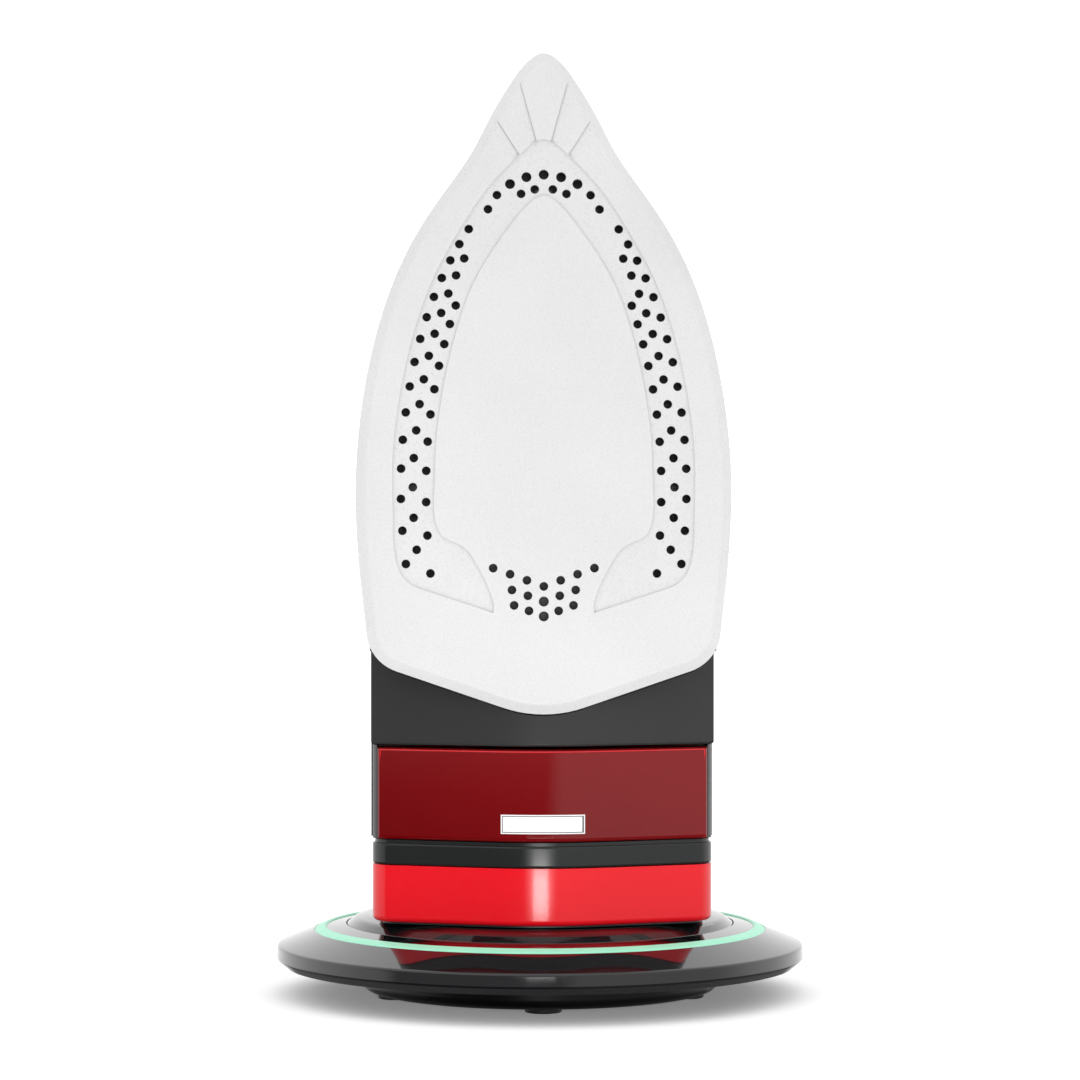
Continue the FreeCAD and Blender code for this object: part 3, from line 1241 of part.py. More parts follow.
def door_frame(outer):
    """The door's own place, centred and flat on the post's surface, and how far on its hinge is."""
    at = Station(9.42)
    reach = DOOR_LENGTH / 2
    ends = [at.point(0, surface_rise(outer, at, forward), forward) for forward in (-reach, reach)]
    at.centre = at.point(0, surface_rise(outer, at))
    at.direction = (ends[1] - ends[0]).normalize()
    at.out = Vector(0, at.direction.z, -at.direction.y)
    return at, KNUCKLE - reach


def hinge_axis_rod(outer, radius, half_length):
    at, forward = door_frame(outer)
    start = at.point(-half_length, -PIN_DEEP, forward)
    return rod(radius, start, Vector(1, 0, 0), 2 * half_length)


def cut_door_seat(shell, outer):
    """The pocket and mouth for the door, with a thick frame that carries the hinge pin."""
    at, _ = door_frame(outer)
    half_width, half_length = DOOR_HALF_WIDTH + 0.3, DOOR_LENGTH / 2 + 0.3
    frame = oriented_block(at, 0, half_width + 2.4, half_length + 2.4, -5.4, 3, 1.5, -HINGE_GAP)
    shell = shell.fuse(frame.common(outer))
    pocket = oriented_block(
        at, 0, half_width, half_length + HINGE_GAP / 2, -DOOR_THICKNESS - 0.3, 6, 0.8, -HINGE_GAP / 2)
    mouth = oriented_block(at, 0, 6.4, 4.6, -9, 6, 1.5, 1.6)
    groove = hinge_axis_rod(outer, KNUCKLE + 0.35, half_width)
    pin_seat = hinge_axis_rod(outer, HINGE_PIN_RADIUS, DOOR_HALF_WIDTH + 1.8)
    nozzle = rod(NOZZLE_RADIUS, Vector(0, NOZZLE_Y, NOZZLE_Z), UP, 60)
    return shell.cut([pocket, mouth, groove, pin_seat, nozzle])


def fill_door(outer):
    """Hinged filling door, flush with the post, its knuckle round the pin and a lip for the nail."""
    at, hinge = door_frame(outer)
    half = (DOOR_LENGTH / 2 - hinge) / 2
    plate = oriented_block(at, 0, DOOR_HALF_WIDTH, half, -DOOR_THICKNESS, 3, 0.8, hinge + half)
    plate = plate.common(outer)
    knuckle = hinge_axis_rod(outer, KNUCKLE, DOOR_HALF_WIDTH)
    lip = oriented_block(at, 0, 3.0, 0.8, -2.4, 0.6, 0.0, DOOR_LENGTH / 2 - 1.4)
    plug = oriented_block(at, 0, 5.2, 3.2, -4.6, 0.1 - DOOR_THICKNESS, 1.2, 1.8)
    door = plate.fuse([knuckle, lip, plug])
    return door.cut(hinge_axis_rod(outer, HINGE_PIN_RADIUS + PIN_FIT, DOOR_HALF_WIDTH + 1))


def door_pin(outer):
    return hinge_axis_rod(outer, HINGE_PIN_RADIUS, DOOR_HALF_WIDTH + 1.8)


PARTS = {}


def save(name, shape):
    PARTS[name] = shape
    shape.exportStep(os.path.join("parts", name + ".step"))


if __name__ == "__main__":
    os.makedirs("parts", exist_ok=True)
    save("dock_cover", dock_cover())
    save("dock_tray", dock_tray())
    save("dock_feet", dock_feet())
    save("dock_screws", dock_screws())
    save("light_ring", light_ring())
    save("led_board", led_board())
    save("cord_gland", cord_gland())
    save("turntable", turntable())
    save("dock_spigot", dock_spigot())
    save("dock_contacts", dock_contacts())
    save("heel_plate", heel_plate())
    save("heel_cap", heel_cap())
    save("heel_screws", heel_screws())
    save("heel_socket", heel_socket())
    save("socket_contacts", socket_contacts())
    save("heel_band", heel_band())
    save("soleplate", soleplate())
    save("heater_casting", heater_casting())
    save("chamber_cover", chamber_cover())
    save("thermostat", thermostat())
    save("thermal_fuse", thermal_fuse())
    save("heating_element", heating_element())
    save("drip_valve", drip_valve())
    save("valve_grommet", valve_grommet())
    save("casting_screws", casting_screws())
    save("skirt", skirt())
    save("water_tank", water_tank())
    save("side_cheeks", side_cheeks())
    save("fill_funnel", fill_funnel())
    save("deck", deck())
    save("temperature_dial", temperature_dial())
    save("dial_pointer", dial_pointer())
    grip = handle_loft()
    shell, cover, panel = handle_parts(grip)
    save("handle_shell", shell)
    save("handle_cover", cover)
    save("control_panel", panel)
    save("pump_block", pump_block(handle_loft(SHELL_WALL)))
    save("spray_button", button(grip, -PUMP_X))
    save("steam_button", button(grip, PUMP_X))
    save("spray_plunger", plunger(grip, -PUMP_X))
    save("steam_plunger", plunger(grip, PUMP_X))
    save("spray_spring", return_spring(grip, -PUMP_X))
    save("steam_spring", return_spring(grip, PUMP_X))
    save("pump_hoses", pump_hoses())
    save("spray_hose", spray_hose())
    save("spray_nozzle", spray_nozzle(grip))
    save("steam_slider", steam_slider(grip))
    save("steam_needle", steam_needle())
    save("fill_door", fill_door(grip))
    save("door_pin", door_pin(grip))
    out = BUTTON_AT.out
    print("press axis", -out.x, -out.y, -out.z)
    print("slide axis", SLIDER_AT.direction)
    at, forward = door_frame(grip)
    print("door pin at", at.point(0, -PIN_DEEP, forward))
    for name, shape in PARTS.items():
        print(f"{name:18s} solids {len(shape.Solids)} volume {shape.Volume:10.0f} valid {shape.isValid()}")
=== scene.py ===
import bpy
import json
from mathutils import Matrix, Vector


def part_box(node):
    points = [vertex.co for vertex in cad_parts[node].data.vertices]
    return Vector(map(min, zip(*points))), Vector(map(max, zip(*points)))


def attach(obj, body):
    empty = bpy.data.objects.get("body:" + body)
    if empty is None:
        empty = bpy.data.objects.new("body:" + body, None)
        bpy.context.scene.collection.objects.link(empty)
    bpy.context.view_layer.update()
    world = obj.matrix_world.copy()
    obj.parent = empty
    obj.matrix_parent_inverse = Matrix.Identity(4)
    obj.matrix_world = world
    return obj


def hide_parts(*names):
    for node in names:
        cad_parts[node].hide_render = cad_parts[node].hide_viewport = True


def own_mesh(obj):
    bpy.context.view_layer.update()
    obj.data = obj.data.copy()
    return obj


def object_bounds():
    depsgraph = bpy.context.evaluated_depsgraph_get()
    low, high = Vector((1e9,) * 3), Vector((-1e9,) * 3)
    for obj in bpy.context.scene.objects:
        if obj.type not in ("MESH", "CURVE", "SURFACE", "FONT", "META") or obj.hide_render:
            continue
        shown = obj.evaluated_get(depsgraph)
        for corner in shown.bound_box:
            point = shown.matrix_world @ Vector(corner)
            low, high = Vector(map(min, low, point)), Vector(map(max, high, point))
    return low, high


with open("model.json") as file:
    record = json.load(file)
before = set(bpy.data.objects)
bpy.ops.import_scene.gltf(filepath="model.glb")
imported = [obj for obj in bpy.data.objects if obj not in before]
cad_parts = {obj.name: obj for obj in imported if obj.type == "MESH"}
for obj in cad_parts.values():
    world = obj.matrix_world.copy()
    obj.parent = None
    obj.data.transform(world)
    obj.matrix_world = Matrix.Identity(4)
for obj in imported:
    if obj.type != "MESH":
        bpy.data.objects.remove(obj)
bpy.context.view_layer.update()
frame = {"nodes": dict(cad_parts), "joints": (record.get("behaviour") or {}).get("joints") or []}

import json
import math
import bpy
import bmesh
from mathutils import Vector
from mathutils.bvhtree import BVHTree

nodes = frame["nodes"]
joints = {joint["name"]: joint for joint in frame["joints"]}

# ---- Dock tray, feet and cable bush
# The shallow pan under the dock is one satin black moulding with a fine spark-eroded texture,
# painted far darker than the other satin black parts as painted shade.
# Its feet and its bush are soft black rubber. The bush is pressed into the rear wall, where the
# lead would come out.


class Signal:
    """One output of a shader node, used like a number."""

    def __init__(self, web, socket):
        self.web, self.socket = web, socket

    def __add__(self, other):
        return self.web.maths("ADD", self, other)

    def __rsub__(self, other):
        return self.web.maths("SUBTRACT", other, self)

    def __mul__(self, other):
        return self.web.maths("MULTIPLY", self, other)

    __radd__, __rmul__ = __add__, __mul__


class Web:
    """A node tree, and the one way that nodes are added to it."""

    def __init__(self, tree):
        self.tree = tree

    def node(self, kind, settings=None, values=None, out=0):
        made = self.tree.nodes.new("ShaderNode" + kind)
        for key, value in (settings or {}).items():
            if key == "stops":
                ramp = made.color_ramp
                while len(ramp.elements) < len(value):
                    ramp.elements.new(0.5)
                for element, (at, colour) in zip(ramp.elements, value):
                    element.position = at
                    element.color = (*colour, 1)
            else:
                setattr(made, key, value)
        for key, value in (values or {}).items():
            self.feed(made.inputs[key], value)
        return made if out is None else Signal(self, made.outputs[out])

    def maths(self, operation, first, second):
        return self.node("Math", {"operation": operation}, {0: first, 1: second})

    def feed(self, socket, value):
        if isinstance(value, Signal):
            self.tree.links.new(value.socket, socket)
        elif isinstance(value, tuple) and len(value) == 3 and socket.type == "RGBA":
            socket.default_value = (*value, 1)
        else:
            socket.default_value = value


class Finish(Web):
    """One material: its shader, the place on the piece in metres, and its patterns."""

    def __init__(self, name, **constants):
        self.material = bpy.data.materials.new(name)
        self.material.use_nodes = True
        super().__init__(self.material.node_tree)
        self.tree.nodes.clear()
        output = self.node("OutputMaterial", out=None)
        self.shader = self.node("BsdfPrincipled", out=None)
        self.tree.links.new(self.shader.outputs[0], output.inputs["Surface"])
        self.place = self.node("TexCoord", out="Object")
        self.set(constants)

    def set(self, values):
        for key, value in values.items():
            self.feed(self.shader.inputs[key.replace("_", " ")], value)

    def noise(self, size_mm, detail=2.0, rough=0.5):
        values = {"Vector": self.place, "Scale": 1000 / size_mm, "Detail": detail, "Roughness": rough}
        return self.node("TexNoise", {}, values)

    def grain(self, scale, detail):
        """Noise pulled out along one way, as a brush or a tool leaves it."""
        drawn = self.node("Mapping", {"vector_type": "POINT"}, {"Vector": self.place, "Scale": scale})
        return self.node("TexNoise", {}, {"Vector": drawn, "Scale": 1.0, "Detail": detail})

    def blend(self, share, low, high):
        """From low to high as share goes from 0 to 1. Low is a colour or a signal."""
        if not isinstance(low, Signal):
            low = (*low, 1)
        return self.node("Mix", {"data_type": "RGBA"}, {0: share, 6: low, 7: (*high, 1)}, out=2)

    def range(self, value, low_in, high_in, low, high):
        values = {"Value": value, 1: low_in, 2: high_in, 3: low, 4: high}
        return self.node("MapRange", {}, values)

    def bump(self, height, depth_mm, strength):
        values = {"Strength": strength, "Distance": depth_mm / 1000, "Height": height}
        return self.node("Bump", {}, values)


def coat(made, finish):
    """Gives a piece or a CAD node this finish all over."""
    made.data.materials.clear()
    made.data.materials.append(finish.material)


def coat_all(finish, *names):
    for name in names:
        coat(nodes[name], finish)


def shown(name, data):
    """A new object of the scene that holds a mesh, a light or a camera."""
    made = bpy.data.objects.new(name, data)
    bpy.context.scene.collection.objects.link(made)
    return made


def moulded(name, dark, light, roughness, texture_mm, depth_mm, **constants):
    """Textured plastic: a mottled tone, uneven sheen and a spark-eroded surface."""
    finish = Finish(name, **constants)
    tone = finish.noise(14, 3)
    fine = finish.noise(texture_mm, 1.5, 0.6)
    smear = finish.noise(38, 4, 0.6)
    finish.set({
        "Base Color": finish.blend(tone * 0.7 + fine * 0.3, dark, light),
        "Roughness": finish.range(smear, 0.3, 0.7, roughness - 0.05, roughness + 0.06),
        "Normal": finish.bump(fine, depth_mm, 0.55),
    })
    return finish


satin_black = moulded("satin_black", (0.025, 0.025, 0.026), (0.031, 0.031, 0.032), 0.36, 0.5, 0.012)
# Painted shade: the tray's black is painted far darker than satin_black, to stand for the shade it
# sits in.
tray_shade_black = moulded(
    "tray_shade_black", (0.002, 0.002, 0.002), (0.0035, 0.0035, 0.0035), 0.34, 0.6, 0.01,
    Specular_IOR_Level=0.25)
rubber_black = moulded(
    "rubber_black", (0.006, 0.006, 0.006), (0.011, 0.011, 0.010), 0.62, 0.8, 0.03)
coat_all(tray_shade_black, "dock_tray")
coat_all(rubber_black, "cord_gland", "dock_feet")

# ---- Dock cover, turntable and connector
# The dock's top is a piano-black moulding with a sunken groove for its light ring. The disc in its
# middle turns with the iron, and the round connector rises through it.


def polished(name, colour, roughness, waviness=0.004, **constants):
    """High-gloss plastic: faint moulding waves and hairline wipe marks in the sheen."""
    finish = Finish(name, **constants)
    wipes = finish.grain((40.0, 900.0, 260.0), 3.0)
    wave = finish.noise(24, 1.0)
    tone = finish.noise(60, 2.0)
    lighter = tuple(min(1.0, c * 1.12 + 0.001) for c in colour)
    finish.set({
        "Base Color": finish.blend(tone, colour, lighter),
        "Roughness": finish.range(wipes, 0.35, 0.75, roughness, roughness + 0.035),
        "Normal": finish.bump(wave, waviness, 0.5),
    })
    return finish


piano_black = polished(
    "piano_black", (0.005, 0.005, 0.006), 0.05, Coat_Weight=0.6, Coat_Roughness=0.03)
coat_all(piano_black, "dock_cover", "turntable", "control_panel")
coat_all(satin_black, "dock_spigot")


def metal(name, dark, light, roughness, stretch=(1, 1, 1)):
    """Bare metal with a drawn or turned grain."""
    finish = Finish(name, Metallic=1.0)
    grain = finish.grain(tuple(800.0 * s for s in stretch), 4.0)
    stain = finish.noise(7, 3)
    finish.set({
        "Base Color": finish.blend(stain, dark, light),
        "Roughness": finish.range(grain, 0.3, 0.7, roughness - 0.07, roughness + 0.08),
        "Normal": finish.bump(grain, 0.006, 0.4),
    })
    return finish


brass = metal("brass", (0.62, 0.40, 0.15), (0.78, 0.56, 0.26), 0.26)
zinc = metal("zinc", (0.52, 0.52, 0.50), (0.66, 0.66, 0.63), 0.32)
coat_all(brass, "dock_contacts", "socket_contacts", "drip_valve", "steam_needle")
coat_all(zinc, "dock_screws", "heel_screws", "casting_screws", "door_pin")

# ---- Light ring and its board
# A frosted diffuser lies in the cover's groove, a little proud of it, and is lit pale green from
# below by a ring-shaped circuit board.
glow = Finish("ring_glow", Roughness=0.32)
cloud = glow.noise(9, 2)
glow.set({
    "Base Color": glow.blend(cloud, (0.20, 0.50, 0.36), (0.28, 0.58, 0.43)),
    "Emission Color": glow.blend(cloud, (0.20, 0.66, 0.42), (0.27, 0.74, 0.50)),
    "Emission Strength": 0.38,
    "Normal": glow.bump(glow.noise(0.7, 1), 0.01, 0.4),
})
coat_all(glow, "light_ring")
board = moulded("solder_mask", (0.015, 0.09, 0.035), (0.03, 0.14, 0.06), 0.34, 0.6, 0.01)
coat_all(board, "led_board")

# ---- Heel: cap, foot plate and connector
# The foot of the iron is a deep glossy red band, closed below by a black plate set in from its
# edge and above by a piano-black band. The plate is screwed on and holds the round socket.
heel_red = polished("heel_red", (0.68, 0.0025, 0.010), 0.13, 0.004)
coat_all(heel_red, "heel_cap", "handle_cover", "spray_button", "steam_button", "steam_slider")
coat_all(satin_black, "heel_plate", "heel_socket")
coat_all(polished("band_black", (0.012, 0.013, 0.013), 0.16), "heel_band")

# ---- Soleplate
# An aluminium casting with a hard white ceramic coat. The coat is sprayed, so it has a fine grain
# with darker flecks. Shade is painted on it: grey in the corners of the line work, nearly black in the
# holes.
ceramic = Finish("sole_ceramic", Coat_Weight=0.25, Coat_Roughness=0.28)


def shelter(finish, reach_mm):
    """How open a place is, from 0 deep in a corner or a hole to 1 on an open face."""
    settings = {"samples": 8, "only_local": True}
    return finish.node("AmbientOcclusion", settings, {"Distance": reach_mm / 1000}, out="AO")


spray = ceramic.noise(0.6, 2.0, 0.7)
fleck = ceramic.range(ceramic.noise(0.42, 1.0), 0.60, 0.72, 0.0, 1.0)
drift = ceramic.noise(45, 2.0)
grain = spray * 0.35 + drift * 0.30 + fleck * 0.35
# Painted shade: occlusion within 0.9 mm paints the coat grey in the corners of the line work.
painted_corner_shade = ceramic.range(shelter(ceramic, 0.9), 0.97, 0.55, 0.0, 0.55)
# Painted shade: occlusion within 4 mm paints the walls of the holes nearly black.
painted_hole_shade = ceramic.range(shelter(ceramic, 4.0), 0.42, 0.12, 0.0, 0.93)
coated = ceramic.blend(grain, (0.74, 0.74, 0.742), (0.46, 0.46, 0.464))
coat_with_corner_shade = ceramic.blend(painted_corner_shade, coated, (0.42, 0.42, 0.425))
ceramic.set({
    "Base Color": ceramic.blend(painted_hole_shade, coat_with_corner_shade, (0.05, 0.05, 0.048)),
    "Roughness": ceramic.range(spray, 0.3, 0.7, 0.40, 0.52),
    "Normal": ceramic.bump(spray, 0.03, 0.6),
})
coat_all(ceramic, "soleplate")

# ---- Heater
# The steam generator is cast round its sheathed element and closed with a steel lid, which carries
# the thermostat and the cut-out.
cast = metal("cast_aluminium", (0.13, 0.13, 0.13), (0.22, 0.22, 0.215), 0.55)
sheet = metal("rolled_sheet", (0.42, 0.42, 0.42), (0.55, 0.55, 0.55), 0.3, (0.1, 1, 1))
insulator = moulded("insulator", (0.62, 0.60, 0.55), (0.72, 0.70, 0.66), 0.6, 0.4, 0.02)
silicone = moulded("silicone", (0.50, 0.49, 0.46), (0.60, 0.59, 0.56), 0.45, 0.6, 0.01)
coat_all(cast, "heater_casting")
coat_all(sheet, "chamber_cover", "thermal_fuse", "heating_element")
coat_all(insulator, "thermostat")
coat_all(silicone, "valve_grommet", "pump_hoses", "spray_hose")

# ---- Return springs
# One steel spring stands under each key of the handle.
for kind in ("spray", "steam"):
    press = joints[f"{kind}_button_press"]
    press_way = Vector(press["axis"])
    spring = nodes[f"{kind}_spring"].copy()
    spring.data = spring.data.copy()
    spring.name = f"{kind}_return_spring"
    bpy.context.scene.collection.objects.link(spring)
    coat(spring, sheet)
    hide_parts(f"{kind}_spring")
    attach(spring, "iron")
    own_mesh(spring)

# ---- Skirt and cheeks
# Heat-proof black mouldings round the soleplate and beside the tank, satin like the dock's tray.
coat_all(
    satin_black, "skirt", "side_cheeks", "fill_funnel", "pump_block", "spray_plunger", "steam_plunger")

# ---- Water tank
# Acrylic dyed deep red and polished. Its red is painted lighter to the right and higher up, as light
# falls across it, and bright red films on its cut edges round the heel window are painted highlights.


def surface_of(node):
    """A search tree of a CAD node's skin, for laying things on it."""
    mesh = nodes[node].data
    return BVHTree.FromPolygons(
        [v.co for v in mesh.vertices], [p.vertices for p in mesh.polygons])


def piece(name, verts, faces, body, finish):
    """A new object from points and faces in metres, riding on a body."""
    mesh = bpy.data.meshes.new(name)
    mesh.from_pydata([tuple(v) for v in verts], [], faces)
    mesh.validate()
    shape = bmesh.new()
    shape.from_mesh(mesh)
    bmesh.ops.recalc_face_normals(shape, faces=shape.faces)
    shape.to_mesh(mesh)
    shape.free()
    made = shown(name, mesh)
    coat(made, finish)
    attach(made, body)
    return made


# A film starts this far under the skin that it is laid on, so that no gap shows below it.
BITE = 0.00002


def ribbon(name, skin, pairs, toward, thickness, body, finish):
    """A thin film laid on a skin. Each pair of points, dropped along toward, gives its two edges."""
    verts, faces = [], []
    toward = Vector(toward)
    for pair in pairs:
        for point in pair:
            hit = skin.ray_cast(Vector(point), toward)[0]
            verts += [hit + toward * BITE, hit - toward * thickness]
    for a in range(0, len(verts) - 4, 4):
        b = a + 4
        faces += [(a + 1, b + 1, b + 3, a + 3), (a, a + 2, b + 2, b), (a, b, b + 1, a + 1)]
        faces += [(a + 2, a + 3, b + 3, b + 2)]
    end = len(verts) - 4
    faces += [(0, 1, 3, 2), (end, end + 2, end + 3, end + 1)]
    return piece(name, verts, faces, body, finish)


def span(low, high, count):
    return [low + (high - low) * i / count for i in range(count + 1)]


tank = Finish("tank_red", Roughness=0.05)
across = tank.node("SeparateXYZ", {}, {0: tank.place})
height = tank.node("SeparateXYZ", {}, {0: tank.place}, out=2)
swirl = tank.noise(30, 2.0)
# Painted light: the red grows lighter to the right and upwards, as the studio light falls across the
# window.
painted_light_slope = tank.range(across * 6 + height * 14 + swirl * 0.25, 0.55, 1.45, 0.0, 1.0)
tank.set({
    "Base Color": tank.blend(painted_light_slope, (0.125, 0.0008, 0.002), (0.185, 0.004, 0.006)),
    "Roughness": tank.range(tank.noise(18, 3.0), 0.35, 0.7, 0.035, 0.065),
    "Normal": tank.bump(swirl, 0.003, 0.5),
})
coat_all(tank, "water_tank", "fill_door")

# Painted highlight: bright red films along the window's edges stand for the light its cut edges
# gather.
painted_edge_highlight = polished("painted_edge_highlight", (0.62, 0.006, 0.012), 0.12, 0.002)
window_skin = surface_of("water_tank")
# Left, right, low and high edges of the clear window, and the width of the light along them.
WINDOW = (-0.0524, 0.0524, 0.0549, 0.0833)
WINDOW_LINE = 0.00032
WINDOW_FILM = 0.00008
BEFORE_WINDOW = -0.2


def level_film(name, x0, x1, z0, z1, thickness, finish, slot, count=40):
    """A film on the front of the window between two levels."""
    pairs = [((x, BEFORE_WINDOW, z0), (x, BEFORE_WINDOW, z1)) for x in span(x0, x1, count)]
    return ribbon(name, window_skin, pairs, (0, 1, 0), thickness, "iron", finish)


x0, x1, z0, z1 = WINDOW
under_top = z1 - WINDOW_LINE
for side, low_x, high_x, low_z, high_z, count in (
    ("top", x0, x1, under_top, z1, 40),
    ("left", x0, x0 + WINDOW_LINE, z0, under_top, 1),
    ("right", x1 - WINDOW_LINE, x1, z0, under_top, 1),
):
    level_film(
        f"painted_window_highlight_{side}", low_x, high_x, low_z, high_z, WINDOW_FILM, painted_edge_highlight, "tank_red", count)

# ---- Label
# A blank paper label with a thin dark frame stands for the maker's own. It is stuck low on the
# window and follows its ridge.
label_white = moulded("label_film", (0.80, 0.80, 0.79), (0.86, 0.86, 0.86), 0.34, 1.2, 0.004)
ink = moulded("label_ink", (0.02, 0.02, 0.02), (0.03, 0.03, 0.03), 0.5, 1.0, 0.002)
LABEL = (-0.0136, 0.0132, 0.0571, 0.0632)
LABEL_FILM = 0.00012
INK_FILM = 0.00016
x0, x1, z0, z1 = LABEL
rim, line = 0.0004, 0.00022
low_side, high_side = z0 + rim + line, z1 - rim - line
level_film("blank_label", *LABEL, LABEL_FILM, label_white, "white_print")
for side, low_x, high_x, low_z, high_z, count in (
    ("low", x0 + rim, x1 - rim, z0 + rim, low_side, 40),
    ("high", x0 + rim, x1 - rim, high_side, z1 - rim, 40),
    ("left", x0 + rim, x0 + rim + line, low_side, high_side, 1),
    ("right", x1 - rim - line * 2, x1 - rim, low_side, high_side, 1),
):
    level_film(
        f"label_frame_{side}", low_x, high_x, low_z, high_z, INK_FILM, ink, "gloss_black", count)

# ---- Deck, dial and handle
# The deck over the tank is glossy, the handle is a soft-touch black shell with a glossy red back,
# and the dial is a satin moulding with a white index beside it.
soft_touch = moulded("soft_touch", (0.014, 0.014, 0.015), (0.022, 0.022, 0.023), 0.55, 0.35, 0.02)
print_white = moulded("print_white", (0.78, 0.78, 0.77), (0.84, 0.84, 0.83), 0.45, 0.6, 0.004)
coat_all(piano_black, "deck")
coat_all(soft_touch, "handle_shell")
coat_all(satin_black, "temperature_dial", "spray_nozzle")
coat_all(print_white, "dial_pointer")

# ---- Seam shade sheets
# Thin black sheets stand for the shade in two seams as painted shade: one under the deck, which keeps
# light from showing through it, and one behind the soleplate, a painted shadow line along the plate's
# heel edge.
ON_LEVEL = 1e-5


def shade_sheet(name, node, level, low_y, high_y, place):
    """A sheet with the outline of a node's flat face at a level, its points set by place."""
    mesh = nodes[node].data
    shape = bmesh.new()
    known, sheets = {}, []
    for face in mesh.polygons:
        if max(abs(mesh.vertices[v].co.y - level) for v in face.vertices) < ON_LEVEL:
            corners = []
            for v in face.vertices:
                key = tuple(round(c, 6) for c in mesh.vertices[v].co)
                if key not in known:
                    x, z = place(key[0], key[2])
                    known[key] = shape.verts.new((x, low_y, z))
                corners.append(known[key])
            if len(set(corners)) == len(corners):
                sheets.append(shape.faces.new(corners))
    grown = bmesh.ops.extrude_face_region(shape, geom=sheets)
    lifted = [item for item in grown["geom"] if isinstance(item, bmesh.types.BMVert)]
    bmesh.ops.translate(shape, verts=lifted, vec=(0, high_y - low_y, 0))
    bmesh.ops.recalc_face_normals(shape, faces=shape.faces)
    shade_mesh = bpy.data.meshes.new(name)
    shape.to_mesh(shade_mesh)
    shape.free()
    made = shown(name, shade_mesh)
    coat(made, rubber_black)
    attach(made, "iron")


deck_low, deck_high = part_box("deck")
tank_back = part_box("water_tank")[1].y
deck_middle = (deck_low.z + deck_high.z) / 2
CLEAR = 0.00003


def under_deck(x, z):
    """A little in from the deck's own edge."""
    return x * 0.985, deck_middle + (z - deck_middle) * 0.992


# Painted shade: a black sheet fills the seam under the deck so that it reads dark.
shade_sheet(
    "deck_seam_shade", "deck", deck_low.y, tank_back + CLEAR, deck_low.y - CLEAR, under_deck)

sole_low, sole_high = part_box("soleplate")
HEEL_EDGE = 0.022
SHOWING = 0.0009
SOLE_SHADE_THICKNESS = 0.00016


def heel_edge(x, z):
    """In from the plate's sides, and out by SHOWING below its heel edge."""
    lower = z - SHOWING if z < sole_low.z + HEEL_EDGE else z
    return x * 0.992, lower


# Painted shadow: a black sheet showing just below the plate's heel edge stands for the shadow line
# under the soleplate.
shade_sheet(
    "sole_shadow_line", "soleplate", sole_high.y, sole_high.y + CLEAR, sole_high.y + SOLE_SHADE_THICKNESS,
    heel_edge)

# ---- Printed marks
# White pad-printed marks: heat dots on the dial, a rising row of dots beside the steam slider, the
# level line on each side of the tank, and a plain sign on each key.
PRINT_FILM = 0.00006
ABOVE_SKIN = 0.03
DOT_SIDES = 20


def dots(name, skin, centres, sizes, across, along, toward, body):
    """Round printed dots, dropped along toward on a skin."""
    verts, faces = [], []
    across, along, toward = Vector(across), Vector(along), Vector(toward)
    for centre, size in zip(centres, sizes):
        first = len(verts)
        for i in range(DOT_SIDES):
            turn = 2 * math.pi * i / DOT_SIDES
            start = Vector(centre) + across * size * math.cos(turn) + along * size * math.sin(turn)
            hit = skin.ray_cast(start, toward)[0]
            verts += [hit + toward * BITE, hit - toward * PRINT_FILM]
        ring = [first + 2 * i for i in range(DOT_SIDES)]
        faces += [ring, [i + 1 for i in reversed(ring)]]
        faces += [(a, b, b + 1, a + 1) for a, b in zip(ring, ring[1:] + ring[:1])]
    return piece(name, verts, faces, body, print_white)


def middle(node):
    low_corner, high_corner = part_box(node)
    return (low_corner + high_corner) / 2


dial = middle("temperature_dial")
dial_skin = surface_of("temperature_dial")
DOT_RING = 0.0172
DIAL_DOT = 0.0008
DOT_STEP = 9
dial_centres = []
for group, count in ((40, 1), (130, 2), (220, 3)):
    for i in range(count):
        turn = math.radians(group + 90 + (i - (count - 1) / 2) * DOT_STEP)
        dial_centres.append(
            dial + Vector((DOT_RING * math.cos(turn), ABOVE_SKIN, DOT_RING * math.sin(turn))))
dots(
    "dial_marks", dial_skin, dial_centres, [DIAL_DOT] * len(dial_centres),
    (1, 0, 0), (0, 0, 1), (0, -1, 0), "dial")

slide = joints["steam_slide"]
slide_axis = Vector(slide["axis"])
slide_out = Vector((0, slide_axis.z, -slide_axis.y))
scale_start = middle("steam_slider") + slide_out * ABOVE_SKIN + Vector((0.0072, 0, 0))
scale = [scale_start + slide_axis * along for along in span(0, slide["range_m"][1], 3)]
dots(
    "steam_scale", surface_of("control_panel"), scale, (0.0004, 0.0006, 0.0008, 0.0010),
    (1, 0, 0), slide_axis, -slide_out, "iron")

LEVEL_Z = 0.2118
LEVEL_WIDTH = 0.0005
BESIDE_TANK = 0.2
for side, name in ((-1, "level_line_left"), (1, "level_line_right")):
    pairs = []
    for y in span(tank_back - 0.022, tank_back - 0.006, 12):
        pairs.append([(side * BESIDE_TANK, y, z) for z in (LEVEL_Z, LEVEL_Z + LEVEL_WIDTH)])
    ribbon(name, window_skin, pairs, (-side, 0, 0), PRINT_FILM, "iron", print_white)

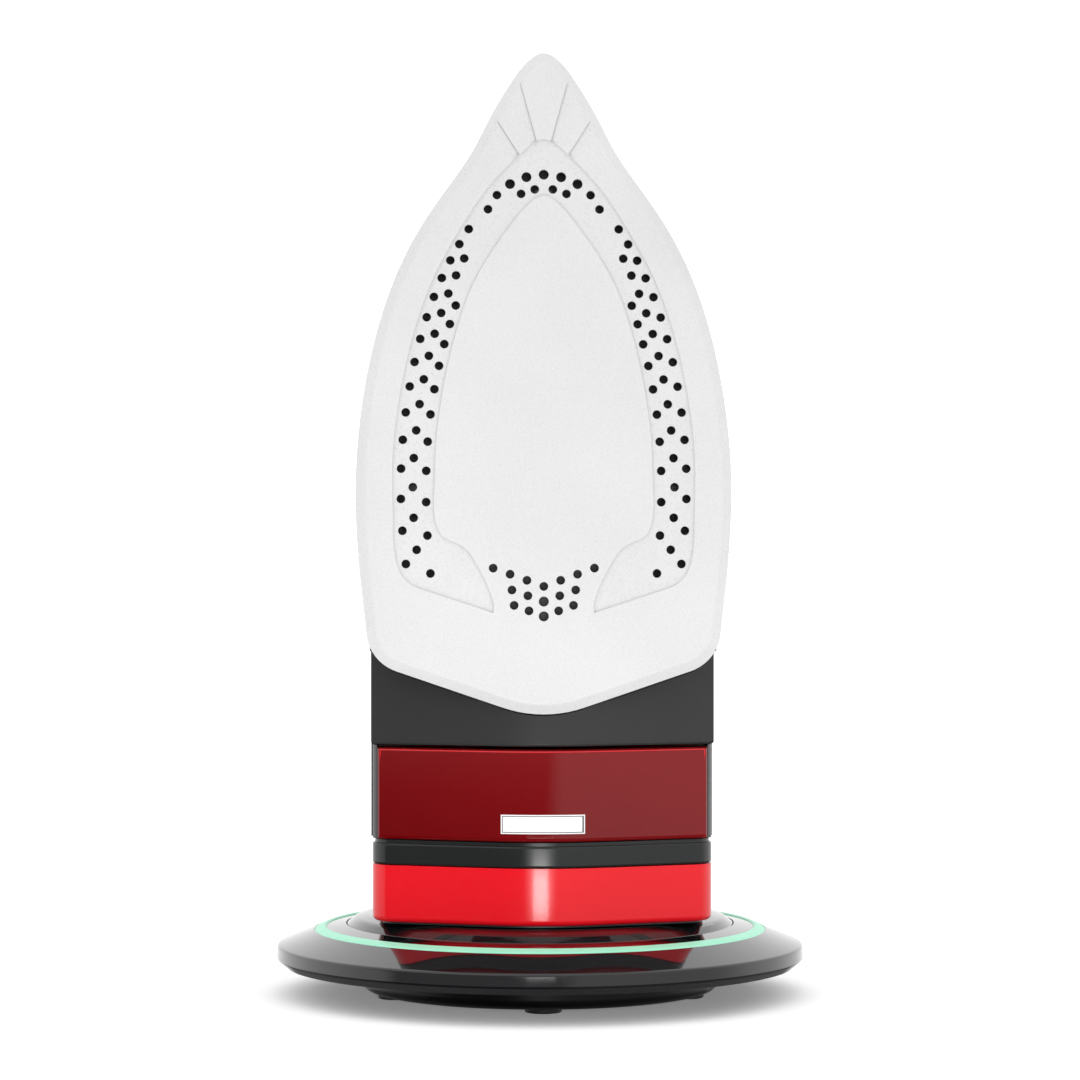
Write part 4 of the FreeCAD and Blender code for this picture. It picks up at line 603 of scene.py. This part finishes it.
# Each key's strokes, from start to end, in millimetres from its middle. Steam is three wavy lines.
STEAM_STROKES = [((x, -2.6), (x, 2.6)) for x in (-2.2, 0, 2.2)]
SPRAY_STROKES = [((0, -2.8), (0, 2.8)), ((-0.9, -2.8), (-3.0, 2.4)), ((0.9, -2.8), (3.0, 2.4))]
HALF_STROKE = 0.25
STEAM_WAVE = 0.45
for key, body, strokes, swing in (
    ("steam_button", "steam_key", STEAM_STROKES, STEAM_WAVE),
    ("spray_button", "spray_key", SPRAY_STROKES, 0),
):
    key_skin = surface_of(key)
    press_way = Vector(joints[key + "_press"]["axis"])
    forward = Vector((0, press_way.z, -press_way.y))
    for number, (start, end) in enumerate(strokes):
        pairs = []
        for share in span(0, 1, 8):
            u = start[0] + (end[0] - start[0]) * share + swing * math.sin(share * 2 * math.pi)
            v = start[1] + (end[1] - start[1]) * share
            at = middle(key) - press_way * ABOVE_SKIN + forward * v / 1000
            pairs.append([
                at + Vector((edge / 1000, 0, 0)) for edge in (u - HALF_STROKE, u + HALF_STROKE)])
        ribbon(
            f"{key}_sign_{number}", key_skin, pairs, press_way, PRINT_FILM, body,
            print_white)

# ---- Floor, lights and camera
# A seamless pale sweep under a white sky. What the gloss mirrors is a studio: white cloth behind,
# a tall soft box at the front right, a softer one above, and a dim room at the front left and below.
floor_finish = Finish("pale_floor", Roughness=0.95, Specular_IOR_Level=0.1, Emission_Strength=0.20)
paper = floor_finish.blend(floor_finish.noise(400, 2), (0.91, 0.91, 0.91), (0.93, 0.93, 0.93))
floor_finish.set({"Base Color": paper, "Emission Color": paper})
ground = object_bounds()[0].z
FLOOR_HALF = 30.0
corners = [(x * FLOOR_HALF, y * FLOOR_HALF, ground) for x, y in ((-1, -1), (1, -1), (1, 1), (-1, 1))]
floor_mesh = bpy.data.meshes.new("floor")
floor_mesh.from_pydata(corners, [], [(0, 1, 2, 3)])
floor = shown("floor", floor_mesh)
coat(floor, floor_finish)
floor.visible_glossy = False

SKY = 1.10
studio = bpy.data.worlds.new("studio")
bpy.context.scene.world = studio
studio.use_nodes = True
studio.node_tree.nodes.clear()
room = Web(studio.node_tree)
toward = room.node("TexCoord", out="Generated")
east, north, up = (room.node("SeparateXYZ", {}, {0: toward}, out=axis) for axis in range(3))
soft_step = {"interpolation_type": "SMOOTHSTEP"}


def step(value, start, end, low=0.0, high=1.0):
    """A soft step from low to high as value goes from start to end."""
    return room.node("MapRange", soft_step, {0: value, 1: start, 2: end, 3: low, 4: high})


front = step(north, 0.25, -0.25)
right_box = step(east, 0.0, 0.30, 0.07, 0.70)
left_glow = step(up, -0.085, -0.045, 0.0, 0.30)
overhead = step(up, 0.25, 0.6, 0.0, 0.95)
left_box = step(east, -0.86, -0.97, 0.0, 0.9)
sideways = step(room.maths("ABSOLUTE", east, 0), 0.55, 0.98)
cloth = SKY * (1 - sideways * 0.45) * step(up, -0.2, 0.6, 0.78, 1.20)
below = step(up, -0.16, -0.34, 1.0, 0.14)
seen = right_box
for box_light in (left_glow, overhead, left_box):
    seen = room.maths("MAXIMUM", seen, box_light)
mirrored_light = (SKY * (1 - front) + seen * front) * below
is_gloss = room.node("LightPath", out="Is Glossy Ray")
is_camera = room.node("LightPath", out="Is Camera Ray")
brightness = mirrored_light * is_gloss + cloth * (1 - is_gloss) + SKY * is_camera
background = room.node("Background", {}, {"Color": (1.0, 1.0, 1.0, 1.0), "Strength": brightness})
sky_output = room.node("OutputWorld", {}, {}, out=None)
studio.node_tree.links.new(background.socket, sky_output.inputs["Surface"])


def lamp(name, place, aim, width, height, power, seen=True):
    """A soft rectangular light that points at aim. Only one that is seen shows in the gloss."""
    data = bpy.data.lights.new(name, "AREA")
    data.shape = "RECTANGLE"
    data.size, data.size_y = width, height
    data.energy = power
    made = shown(name, data)
    made.location = place
    made.rotation_euler = (Vector(aim) - Vector(place)).to_track_quat("-Z", "Y").to_euler()
    made.visible_camera = False
    made.visible_glossy = seen


# Two lamps draw the bright streak down the heel's ridge, and a third lifts the low soleplate.
RIDGE = (-0.002, -0.05, 0.0205)
lamp("ridge_strip", (-0.004, -0.235, 0.0205), RIDGE, 0.040, 0.017, 0.036)
lamp("ridge_halo", (-0.004, -0.240, 0.026), RIDGE, 0.075, 0.028, 0.011)
lamp("low_wash", (0.0, -0.42, 0.03), (0, 0, 0.08), 0.16, 0.06, 0.13, seen=False)

CAMERA_HEIGHT = 0.1505
CAMERA_AWAY = 1.16
swing = math.radians(-1.2)
camera_data = bpy.data.cameras.new("camera")
camera_data.lens = 116.0
camera_data.sensor_width = 36.0
camera_data.clip_start, camera_data.clip_end = 0.01, 100
camera = shown("camera", camera_data)
camera.location = (CAMERA_AWAY * math.sin(swing), -CAMERA_AWAY * math.cos(swing), CAMERA_HEIGHT)
camera.rotation_euler = (math.radians(90), 0, swing)
bpy.context.scene.camera = camera
bpy.context.scene.view_settings.view_transform = "Standard"
